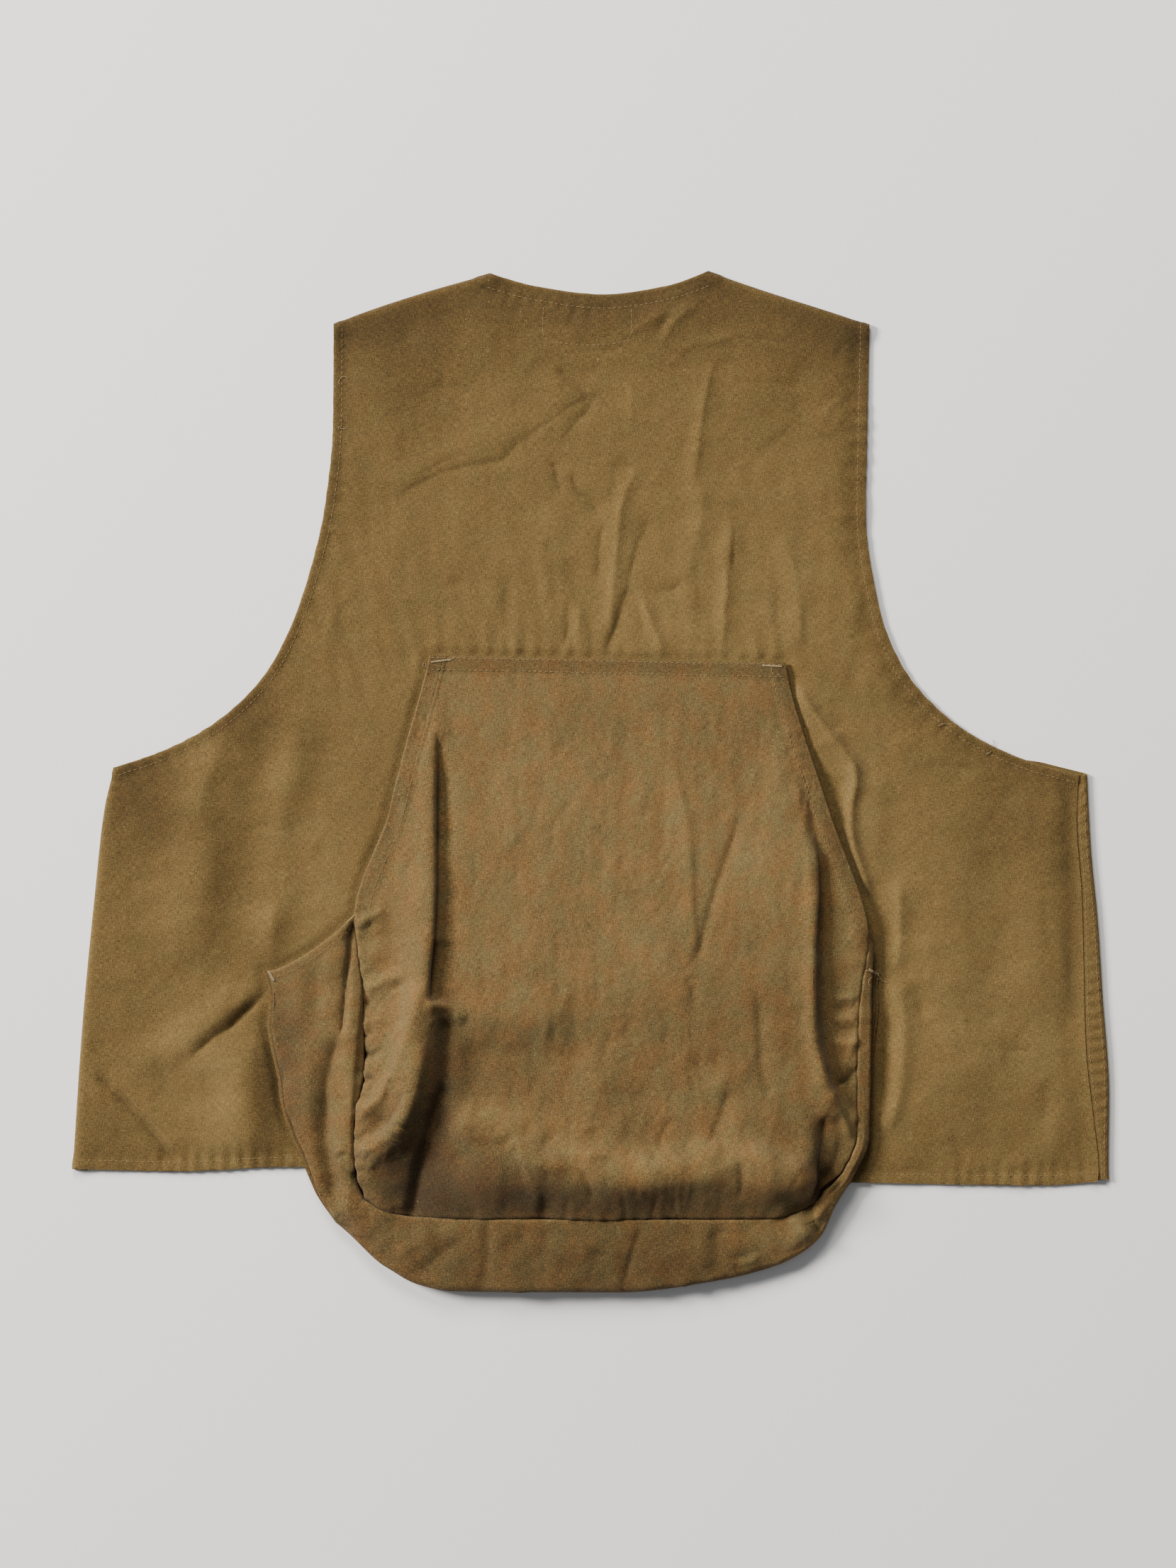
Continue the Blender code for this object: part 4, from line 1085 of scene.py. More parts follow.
def face_grid():
    """The bag's face as a grid, by section from the top and by line from left to right."""
    across = np.array(FACE_X, float)
    rows = np.array(FACE_ROWS, float)
    share = (across - across[:, :1]) / (across[:, -1:] - across[:, :1])
    hang = rows[:, 2:] * (1 - np.abs(2 * share - 1) ** CORNER_POWER)
    y = rows[:, :1] + (rows[:, 1:2] - rows[:, :1]) * share - hang
    knots = np.stack([across, y, np.array(FACE_Z, float)], axis=2)
    line_places = across[SEAM_ROW]
    across = subdivided(line_places, FACE_COLUMNS, True, True)
    columns = through(line_places, knots.transpose(1, 0, 2), across)
    row_places = lengths(rows[:, :1])
    return through(row_places, columns.transpose(1, 0, 2), subdivided(row_places, FACE_STEPS, False, True))


def seam_line(face):
    """The face's sewn edge: down its left side, along the bottom and up its right side."""
    top = sum(FACE_STEPS[:SEAM_ROW])
    return np.concatenate([face[top:-1, 0], face[-1, :-1], face[:top - 1:-1, -1]])


def gusset_section(row, seam_z, rest):
    """Distances out and heights of one section of the gusset, from the seam to its sewn end."""
    _, _, _, crown, crown_z, fold, radius, tuck, end = row
    leg = rest + 2 * TUCK
    round_fold = np.linspace(FOLD_START, -np.pi / 2, GUSSET_STEPS[2] + 1)
    round_tuck = np.linspace(np.pi / 2, 1.5 * np.pi, GUSSET_STEPS[4] + 1)
    outer = np.column_stack([
        fold - SOLID_CLOTH / 2 - radius + radius * np.cos(round_fold),
        leg + radius + radius * np.sin(round_fold),
    ])
    inner = np.column_stack([
        tuck + TUCK + TUCK * np.cos(round_tuck),
        rest + TUCK + TUCK * np.sin(round_tuck),
    ])
    knots = np.array([(0, seam_z), (crown, crown_z), outer[0]])
    top = through([0, 1, 2], knots, subdivided(np.arange(3.0), GUSSET_STEPS[:2], True))
    straight = np.linspace(outer[-1], inner[0], GUSSET_STEPS[3] + 1)
    last = np.linspace(inner[-1], (end, rest), GUSSET_STEPS[5] + 1)
    return np.concatenate([top, outer[1:], straight[1:], inner[1:], last[1:]])


def gusset_grid(seam):
    """The gusset, one section for each point of its seam with the face."""
    table = np.array(GUSSET, float)
    place = lengths(seam[:, :2])
    rows = through(table[:, 0], table, place / place[-1])
    ahead = unit(np.gradient(seam[:, :2], axis=0))
    sections = []
    for point, along, row in zip(seam, ahead, rows):
        angle = np.radians(row[1])
        outward = np.array([np.cos(angle), np.sin(angle)])
        under = point[:2] + outward * row[[5, 7, 8], None] + (0, SLOPE_CLEAR)
        rest = sheet_height(under).max() + SOLID_CLOTH + GAP
        section = gusset_section(row, point[2], rest)
        travelled = lengths(section)
        slant = row[2] * (1 - (1 - np.clip(SLANT_SHARE * travelled / travelled[-1], 0, 1)) ** SLANT_POWER)
        flat = point[:2] + outward * section[:, :1] + along * slant[:, None]
        sections.append(np.column_stack([flat, section[:, 1]]))
    return np.array(sections)


def bag_loops(face, gusset):
    """The outline of the whole bag, and of its back, which ends inside the mouths."""
    top = sum(FACE_STEPS[:SEAM_ROW])
    layer = 1 + sum(GUSSET_STEPS[:2])
    lip = moved(gusset[:, -1, :2], -SHEET_LIP)
    left = np.concatenate([face[:top, 0, :2], gusset[0, :layer, :2]])
    right = face[:top, -1, :2]
    inner_left = moved(left, MOUTH_INSET)
    inner_right = moved(right, -MOUTH_INSET)
    inner_left[0, 1] -= TOP_INSET
    inner_right[0, 1] -= TOP_INSET
    whole = np.concatenate([left, lip, right[::-1]])
    back = np.concatenate([inner_left[:-1], lip, inner_right[::-1]])
    return whole, back


def outline_run(points, inset=0.0):
    """One run of the garment's outline, moved inwards by inset."""
    return moved(curve(points, EDGE_STEP), -inset)


def lengthened(line, extra=30.0):
    """The line carried straight on at both ends."""
    before = line[:1] - extra * unit(line[1:2] - line[:1])
    after = line[-1:] + extra * unit(line[-1:] - line[-2:-1])
    return np.concatenate([before, line, after])


def rolled_over(flat, line):
    """Takes what lies past a line over a rolled fold: places, the foot of each, the share turned."""
    line = lengthened(line)
    aside, along = beside(line, flat, ROLL_REACH)
    over = np.isfinite(aside) & (aside > 0)
    at = lengths(line)
    foot = between(line, at, along)
    left = between(lefts(line), at, along)
    angle = np.clip(aside / ROLL, 0, np.pi)
    reach = ROLL * np.sin(angle) - np.maximum(aside - np.pi * ROLL, 0)
    reach = np.where(over, reach, 0)[:, None]
    place = np.where(over[:, None], foot + left * reach, flat)
    return place, foot, over, (1 - np.cos(angle)) / 2, aside


def painted_light_and_shade_ovals(points, table):
    """Painted shade and painted light in the cloth's colour, as ovals soft at their edges."""
    total = np.zeros(len(points))
    for x, y, half_x, half_y, amount in table:
        away = ((points[:, 0] - x) / half_x) ** 2 + ((points[:, 1] - y) / half_y) ** 2
        total += amount * np.exp(-away)
    return total


def crest_wear_and_hollow_shade(creases, limit, share):
    """Creases wear pale along their crests and get painted shade in their hollows."""
    return np.clip(creases, -limit, limit) * share


def edge_shade(points, lines, amount, width, reach):
    """How much darker the cloth is near its edges."""
    return sum(amount * hump(distance_to(line, points, reach), width) for line in lines)


def back_edges():
    """The runs of the back's edges as it lies, in their order round it."""
    return {
        "side": outline_run(SIDE_LEFT, FOLD_INSET),
        "left armhole": outline_run(ARMHOLE_LEFT),
        "left shoulder": outline_run(SHOULDER_LEFT, FOLD_INSET),
        "neck": outline_run(NECK),
        "right shoulder": outline_run(SHOULDER_RIGHT, FOLD_INSET),
        "right armhole": outline_run(ARMHOLE_RIGHT),
        "seam": outline_run(SEAM_RIGHT),
        "hem": outline_run(HEM),
    }


def back_cut(edges, bag):
    """The outline of the back's cut, and its points and triangles, on rows at its edges and creases."""
    outline = ringed([
        moved(run, HALF_TURN + MARGIN) if name in FOLDED_EDGES else run.copy() for name, run in edges.items()
    ])
    rows = hem_rows(outline, [edges[name] for name in (*HEMMED_EDGES, "seam")])
    for name in FOLDED_EDGES:
        for past in np.arange(0, HALF_TURN + ROLL_STEP, ROLL_STEP):
            rows.append(kept(outline, moved(edges[name], past), ROLL_STEP))
    for _, _, _, _, *way in BACK_CREASES:
        line = curve(np.reshape(way, (-1, 2)), step=BACK_STEP)
        for offset in CREASE_ROWS:
            row = kept(outline, moved(line, offset), ROW_CLEAR)
            rows.append(row[~inside(bag, row)])
    return outline, *filled(outline, BACK_STEP, [row for row in rows if len(row)], grown(bag, -BAG_COVER))


def folded_over(flat, folds):
    """Points of the cut rolled over the folds: their places, the foot of each, the share turned."""
    place = flat.copy()
    base = flat.copy()
    turned = np.zeros(len(flat))
    for fold in folds:
        moved_over, foot, over, share, _ = rolled_over(flat, fold)
        place[over] = moved_over[over]
        base[over] = foot[over]
        turned[over] = share[over]
    return place, base, turned


def build_back(bag, top_edge, material):
    """The vest's back. What lies past its folds in the cut rolls over and under."""
    edges = back_edges()
    folds = [edges[name] for name in FOLDED_EDGES]
    outline, flat, faces = back_cut(edges, bag)
    place, base, turned = folded_over(flat, folds)
    away = distance_to(closed(bag), base) * ~inside(bag, base)
    shown = rising(away, *SHOWN)
    yoke = rising(base[:, 1], *YOKE_LOW) * rising(base[:, 1], *YOKE_HIGH)
    z = BACK_Z + rising(away, BAG_CLEAR, BAG_RISE) * fold_height(base, BACK_FOLDS)
    z += BACK_LIFT * rising(away, *LIFTED) * rising(distance_to(closed(outline), flat), *LIFT_EDGE)
    creases = shown * creased(base, BACK_CREASES)
    z += creases
    z += rumpled(base, BACK_RUMPLES, {
        "all": shown, "wide": rising(away, *WIDE), "yoke": shown * yoke, "wings": shown * (1 - yoke),
    })
    hems = (ARMHOLE_HEM, NECK_HEM, ARMHOLE_HEM, LOWER_HEM)
    rise, shift, wear_and_painted_shade = hemmed(base, zip([edges[name] for name in HEMMED_EDGES], hems))
    z += shift * shown
    height, width, spacing, seed = GATHERS
    aside, along = beside(top_edge, base, REACH)
    gathers = np.exp(-np.abs(aside) / width) * puckered(along, spacing, seed) * rising(away, 0, GATHER_EASE)
    z += np.where(np.isfinite(aside) & (aside > 0), height * gathers, 0)
    for line, level in (*((fold, ROLLED_Z) for fold in folds), (edges["seam"], SEAM_Z)):
        near = rising(distance_to(line, base, ROLL_REACH), ROLL_RISE, -ROLL_RISE)
        z += (level - z) * near * RISEN
    rise = rise + SEAM_LIFT * hump(distance_to(edges["seam"], base, PATCH_REACH), SEAM_SPREAD)
    height, width, spacing, seed = PATCH_PUCKERS
    aside, along = beside(curve(PATCH, EDGE_STEP), base, PATCH_REACH)
    rise -= STITCH_DIP * hump(aside, STITCH_SPREAD)
    z += height * hump(aside, width) * puckered(along, spacing, seed)
    z = np.maximum(z, BACK_Z - BACK_SAG)
    z += (FRONT_Z - z) * turned
    rise = rise * (1 - turned)
    amount, width, reach = FOLD_WEAR
    for fold in folds:
        wear_and_painted_shade = np.maximum(wear_and_painted_shade, amount * hump(distance_to(fold, base, reach), width))
    # Crests wear paler and the creases' hollows get painted shade.
    wear_and_painted_shade = wear_and_painted_shade + crest_wear_and_hollow_shade(creases, *BACK_CREST_WEAR_AND_HOLLOW_SHADE)
    upper = [edges[name] for name in UPPER_EDGES]
    # Painted shade and painted light from the table, and darker cloth near the upper edges.
    painted_light_and_shade = painted_light_and_shade_ovals(base, BACK_PAINTED_LIGHT_AND_SHADE) - edge_shade(base, upper, *BACK_EDGE_SHADE)
    points = np.column_stack([place, z])
    piece = shell("vest_back", "back", points, faces, flat, material, "vest_duck", rise, wear_and_painted_shade, painted_light_and_shade)
    return piece


def front_middle(side):
    """One front's neck and middle edge, down from the shoulder. side is -1 for the left one."""
    top = MIDDLE[0]
    neck = [(top[0] + side * reach, y) for reach, y in FRONT_NECK]
    edge = curve([*neck, top, MIDDLE[1]], MIDDLE_STEP)
    return edge + (side * GAP / 2, 0)


def build_front_left(material):
    """The left front, flat on the floor inside the back's rolled margins."""
    hem = outline_run(HEM, FRONT_HEM_INSET)
    outline = ringed([
        outline_run(SIDE_LEFT, TUCKED), outline_run(ARMHOLE_LEFT, FRONT_INSET),
        outline_run(SHOULDER_LEFT, TUCKED), front_middle(-1), hem[hem[:, 0] < MIDDLE[1][0] - MIDDLE_CLEAR],
    ])
    flat, faces = filled(outline, FRONT_STEP)
    points = np.column_stack([flat, np.full(len(flat), FRONT_Z)])
    piece = shell("vest_front_left", "front_left", points, faces, flat, material, "vest_duck")


def build_front_right(material):
    """The right front, which comes up round the right fold to the seam with the back."""
    armhole = outline_run(ARMHOLE_RIGHT)
    share = np.linspace(0, 1, len(armhole))
    armhole = moved(armhole, (FRONT_INSET + PIT_REACH) * rising(share, PIT_START, PIT_EASE) - FRONT_INSET)
    fold = outline_run(FOLD_RIGHT, FOLD_INSET)
    seam = moved(curve(SEAM_RIGHT, count=len(fold)), GAP)
    strip_width = np.linalg.norm(fold - seam, axis=1)
    hem = outline_run(HEM, FRONT_HEM_INSET)
    outline = ringed([
        front_middle(1)[::-1].copy(), outline_run(SHOULDER_RIGHT, TUCKED), armhole,
        moved(fold, HALF_TURN + strip_width), hem[hem[:, 0] > MIDDLE[1][0] + MIDDLE_CLEAR],
    ])
    past_fold = (*np.arange(0, HALF_TURN + 0.1, ROLL_STEP), *STRIP_ROWS)
    rows = [kept(outline, moved(fold, past), ROLL_STEP) for past in past_fold]
    flat, faces = filled(outline, FRONT_STEP, rows)
    place, _, over, share, aside = rolled_over(flat, fold)
    past = np.maximum(np.where(over, aside, 0) - HALF_TURN, 0)
    on_strip = over & (past > 0)
    off = distance_to(seam, place, ROLL_REACH)
    along = beside(lengthened(fold), flat, ROLL_REACH)[1]
    z = FRONT_Z + np.where(over, 2 * ROLL * share, 0)
    z -= np.where(over & (share > FULLY), (ROLLED_Z - SEAM_Z) * rising(off, SEAM_EASE, -SEAM_EASE), 0)
    height, ease, spacing, seed = STRIP_PUCKERS
    z += np.where(on_strip, height * puckered(along, spacing, seed) * rising(off, 0, ease), 0)
    lift = np.where(on_strip, SEAM_LIFT * rising(past, 0, STRIP_EASE[0]) * rising(off, 0, STRIP_EASE[1]), 0)
    for row in SEAM_ROWS:
        lift -= np.where(on_strip, STITCH_DIP * hump(off - row, STITCH_SPREAD), 0)
    amount, middle, width = STRIP_WEAR
    wear_and_painted_shade = np.where(over, amount * hump(aside - middle, width), 0)
    points = np.column_stack([place, z])
    piece = shell("vest_front_right", "front_right", points, faces, flat, material, "vest_duck", lift, wear_and_painted_shade)
    return piece


def grid_flat(grid, middle):
    """Places of a grid's points in its cut, measured across from one line and down from the top."""
    u = lengths(grid, 1)
    u = u - u[:, middle:middle + 1] + grid[:1, middle, 0]
    return np.stack([u, grid[:1, :, 1] - lengths(grid)], axis=2)


def raised(points, faces, height):
    """The sheet's points moved out along its normals."""
    return points + normals(points, faces) * height[:, None]


def ditch(off):
    """The cloth dips into a seam at this distance from it."""
    return -DITCH_DEPTH * hump(off, DITCH_WIDTH)


def build_face(face, seam, edges, material):
    """The bag's face. edges are its top edge, its left and its right mouth edge."""
    points = face.reshape(-1, 3)
    plan = points[:, :2].copy()
    faces = grid_faces(*face.shape[:2], flip=True)
    cut = grid_flat(face, sum(FACE_COLUMNS[:MIDDLE_LINE]))
    flat = cut.reshape(-1, 2)
    rise, shift, wear_and_painted_shade = hemmed(plan, zip(edges, (TOP_HEM, MOUTH_HEM_LEFT, MOUTH_HEM_RIGHT)))
    off, along = beside(seam[:, :2], plan, REACH)
    off = np.abs(off)
    x, y = plan.T
    free = rising(y, *FACE_FREE)
    low = rising(y, *FACE_LOW)
    calm = 1 - CALM_SHARE * rising(y, *FACE_CALM)
    creases = creased(plan, FACE_CREASES)
    height = creases + shift + ditch(off) + seam_puckers(off, along, FACE_PUCKERS)
    height += rumpled(plan, FACE_RUMPLES, {
        "all": free, "flank": rising(x, *FLANK_X) * rising(y, *FLANK_Y),
        "calm": free * calm, "calm low": low * calm,
    })
    points = raised(points, faces, height)
    points[:, 2] = np.maximum(points[:, 2], FACE_FLOOR)
    # Crests wear paler and the creases' hollows get painted shade.
    wear_and_painted_shade = wear_and_painted_shade + crest_wear_and_hollow_shade(creases, *BAG_CREST_WEAR_AND_HOLLOW_SHADE)
    # Painted shade and painted light from the table, and darker cloth near the hemmed edges.
    painted_light_and_shade = painted_light_and_shade_ovals(plan, FACE_PAINTED_LIGHT_AND_SHADE) - edge_shade(plan, edges, *FACE_EDGE_SHADE)
    piece = shell("game_bag_face", "bag_face", points, faces, flat, material, "bag_duck", rise, wear_and_painted_shade, painted_light_and_shade)
    return piece


def build_gusset(gusset, seam, mouth, material):
    """The bag's gusset. mouth is its open edge in the left mouth."""
    count, across = gusset.shape[:2]
    points = gusset.reshape(-1, 3)
    plan = points[:, :2].copy()
    faces = grid_faces(count, across)
    on_top = np.tile(np.arange(across) < len(mouth), count)
    upper = rising(normals(points, faces)[:, 2], 0, FACING_UP) * on_top
    from_seam = lengths(gusset, 1)
    seam_place = lengths(seam)[:, None].repeat(across, 1)
    flat = np.stack([seam_place, from_seam], axis=2).reshape(-1, 2)
    along, off = flat.T
    rise, shift, wear_and_painted_shade = hemmed(plan, [(mouth, GUSSET_HEM)])
    creases = creased(plan, GUSSET_CREASES)
    height = upper * (creases + shift + seam_puckers(off, along, GUSSET_PUCKERS)) + ditch(off)
    height += upper * rumpled(plan, GUSSET_RUMPLES, {
        "crown": rising(off, 0, CROWN_EASE), "seam on": rising(off, 0, CREASE_EASE),
    })
    points = raised(points, faces, height).reshape(count, across, 3)
    points[:, 0] += GAP * unit(gusset[:, 1] - gusset[:, 0])
    points = points.reshape(-1, 3)
    # Crests wear paler and the creases' hollows get painted shade.
    wear_and_painted_shade = upper * (wear_and_painted_shade + crest_wear_and_hollow_shade(creases, *BAG_CREST_WEAR_AND_HOLLOW_SHADE))
    # Painted shade and painted light from the table.
    painted_light_and_shade = painted_light_and_shade_ovals(plan, GUSSET_PAINTED_LIGHT_AND_SHADE)
    piece = shell(
        "game_bag_gusset", "bag_gusset", points, faces, flat, material, "bag_duck", rise * upper, wear_and_painted_shade, painted_light_and_shade,
    )
    return piece


def build_bag_back(outline, material):
    """The sheet under the bag, which lies on the vest and comes down to the floor past its hem."""
    level = np.column_stack([np.linspace(outline[:, 0].min(), outline[:, 0].max(), SLOPE_POINTS)] * 2)
    rows = []
    for past in np.linspace(0, HEM_DROP, SLOPE_ROWS):
        level[:, 1] = hem_y(level[:, 0]) - HEM_CLEAR - past
        rows.append(kept(outline, level, ROW_CLEAR))
    flat, faces = filled(outline, SHEET_STEP, rows)
    points = np.column_stack([flat, sheet_height(flat)])
    piece = shell("game_bag_back", "bag_back", points, faces, flat, material, "bag_duck")
    return piece


def build_bag(material):
    """The game bag: the outline of the whole of it, its pieces and its hemmed edges."""
    face = face_grid()
    seam = seam_line(face)
    gusset = gusset_grid(seam)
    whole, back = bag_loops(face, gusset)
    top = sum(FACE_STEPS[:SEAM_ROW])
    edges = (face[0, :, :2], face[:top + 1, 0, :2], face[:top + 1, -1, :2])
    mouth = gusset[0, :sum(GUSSET_STEPS[:2]) + 3, :2]
    pieces = (
        build_face(face, seam, edges, material),
        build_gusset(gusset, seam, mouth, material),
        build_bag_back(back, material),
    )
    return whole, pieces, (*edges, mouth)


class Surface:
    """The cloth as seen from above, to lay sewing on."""

    def __init__(self, pieces):
        points = []
        faces = []
        for piece in pieces:
            start = len(points)
            points += [vertex.co / MM for vertex in piece.data.vertices]
            faces += [tuple(start + corner for corner in face.vertices) for face in piece.data.polygons]
        self.tree = BVHTree.FromPolygons(points, faces)

    def at(self, x, y):
        """The highest place there, and the way out of the cloth."""
        place, out, _, _ = self.tree.ray_cast(Vector((x, y, 100)), Vector((0, 0, -1)))
        if place is None:
            return None
        return np.array(place), np.array(out if out.z > 0 else -out)


def tube(path, radii, sides=6):
    """A closed tube along a path, with a radius at each of its points."""
    path = np.asarray(path, float)
    ahead = unit(np.gradient(path, axis=0))
    aside = unit(np.cross(ahead, (0.0, 0.0, 1.0)) + 1e-6)
    up = np.cross(aside, ahead)
    angle = np.linspace(0, 2 * np.pi, sides, endpoint=False)
    ring = aside[:, None] * np.cos(angle)[None, :, None] + up[:, None] * np.sin(angle)[None, :, None]
    points = path[:, None] + ring * np.reshape(radii, (-1, 1, 1))
    count = len(path)
    faces = []
    for i in range(count - 1):
        for j in range(sides):
            k = (j + 1) % sides
            faces.append((i * sides + j, i * sides + k, (i + 1) * sides + k, (i + 1) * sides + j))
    faces.append(tuple(range(sides))[::-1])
    faces.append(tuple((count - 1) * sides + j for j in range(sides)))
    return points.reshape(-1, 3), [face[::-1] for face in faces]


def joined(parts):
    """Several (points, faces) as one."""
    points = []
    faces = []
    start = 0
    for own, own_faces in parts:
        points.append(own)
        faces += [tuple(start + corner for corner in face) for face in own_faces]
        start += len(own)
    return np.concatenate(points), faces


def parts_outside(loop, line):
    """The runs of a line that lie outside a closed loop."""
    out = ~inside(loop, line)
    cuts = np.flatnonzero(np.diff(out)) + 1
    runs = np.split(line, cuts)
    return [run for run, clear in zip(runs, out[np.concatenate([[0], cuts])]) if clear and len(run) > 3]


def sewn(surface, line, seed):
    """Stitches along a line on the cloth, as short bowed threads that sink in at their ends."""
    draw = np.random.default_rng(seed)
    place = lengths(line)
    left = lefts(line)
    parts = []
    at = draw.uniform(*FIRST_STITCH)
    while at + STITCH_LENGTH < place[-1]:
        own = STITCH_LENGTH * draw.uniform(*LENGTH_SPREAD)
        wander = draw.uniform(-STITCH_WANDER, STITCH_WANDER, 2)
        path = []
        for share in np.linspace(0, 1, len(STITCH_THREAD)):
            here = at + own * share
            shift = wander[0] + (wander[1] - wander[0]) * share
            found = surface.at(*(between(line, place, here) + between(left, place, here) * shift))
            if found is None:
                break
            path.append(found[0] + found[1] * (STITCH_BOW * np.sin(np.pi * share) - STITCH_SINK))
        if len(path) == len(STITCH_THREAD):
            parts.append(tube(path, STITCH_THREAD))
        at += STITCH_PITCH * draw.uniform(*PITCH_SPREAD)
    return parts


def bar_tack(surface, start, end, width, seed):
    """A bar tack from start to end: a dense band of crosswise threads."""
    draw = np.random.default_rng(seed)
    start = np.array(start, float)
    end = np.array(end, float)
    length = np.linalg.norm(end - start)
    run = unit(end - start)
    cross = np.array([-run[1], run[0]])
    parts = []
    for at in np.arange(0, length, TACK_PITCH):
        middle = start + run * at
        lean = draw.uniform(-TACK_LEAN, TACK_LEAN)
        path = []
        for share in np.linspace(-1, 1, len(TACK_THREAD)):
            xy = middle + cross * share * width / 2 + run * lean * share
            found = surface.at(*xy)
            if found is not None:
                path.append(found[0] + found[1] * (TACK_BOW * (1 - share**2) + TACK_RAISE))
        if len(path) == len(TACK_THREAD):
            parts.append(tube(path, TACK_THREAD))
    return parts


def loose_thread(surface, start, heading, length, seed):
    """A frayed end of thread that lies on the cloth in uneven curls."""
    draw = np.random.default_rng(seed)
    place = np.array(start, float)
    heading = np.radians(heading)
    turn = draw.uniform(-LOOSE_TURN, LOOSE_TURN)
    path = []
    steps = max(LOOSE_POINTS, int(length / LOOSE_STEP))
    for i in range(steps):
        found = surface.at(*place)
        level = found[0][2] if found is not None else FLOOR_THREAD
        bow = LOOSE_BOW * np.sin(np.pi * i / steps) * draw.uniform(*BOW_SPREAD)
        bow *= min(1.0, length / LOOSE_LONG)
        path.append((place[0], place[1], level + LOOSE_RAISE + bow))
        turn = LOOSE_KEEP * turn + draw.uniform(-LOOSE_BEND, LOOSE_BEND)
        heading += turn
        place = place + LOOSE_STEP * np.array([np.cos(heading), np.sin(heading)])
    path = np.array(path)
    path[1:-1, 2] = (path[:-2, 2] + path[1:-1, 2] + path[2:, 2]) / 3
    return tube(path, np.full(len(path), LOOSE_THREAD), 5)


def new_material(name, **constants):
    """A new material, its node tree and its shader, with the shader's constant inputs set."""
    material = bpy.data.materials.new(name)
    material.use_nodes = True
    shader = material.node_tree.nodes["Principled BSDF"]
    for key, value in constants.items():
        shader.inputs[key.replace("_", " ")].default_value = value
    return material, material.node_tree, shader


def node(tree, kind, settings=(), **inputs):
    """A shader node with its settings, and its inputs set or linked, i0 and so on by their number."""
    found = tree.nodes.new(kind)
    for key, value in dict(settings).items():
        setattr(found, key, value)
    for key, value in inputs.items():
        numbered = key[0] == "i" and key[1:].isdigit()
        socket = found.inputs[int(key[1:]) if numbered else key.replace("_", " ")]
        if isinstance(value, bpy.types.NodeSocket):
            tree.links.new(value, socket)
        else:
            socket.default_value = value
    return found


def maths(tree, operation, a, b=0.0, c=0.0):
    """One step of arithmetic."""
    return node(tree, "ShaderNodeMath", {"operation": operation}, i0=a, i1=b, i2=c).outputs[0]


def scaled(tree, vector, scale):
    """Places stretched by a scale for each axis."""
    return node(tree, "ShaderNodeMapping", Vector=vector, Scale=scale).outputs[0]


def mixed(tree, share, a, b, blend="MIX"):
    """Two colours mixed, share of the second into the first."""
    settings = {"data_type": "RGBA", "blend_type": blend}
    return node(tree, "ShaderNodeMix", settings, i0=share, i6=a, i7=b).outputs[2]


def noise(tree, vector, scale=1.0, detail=2.0, rough=0.5):
    """Noise from about -1 to 1."""
    waves = node(tree, "ShaderNodeTexNoise", Vector=vector, Scale=scale, Detail=detail, Roughness=rough)
    return maths(tree, "MULTIPLY_ADD", waves.outputs["Fac"], 4.0, -2.0)


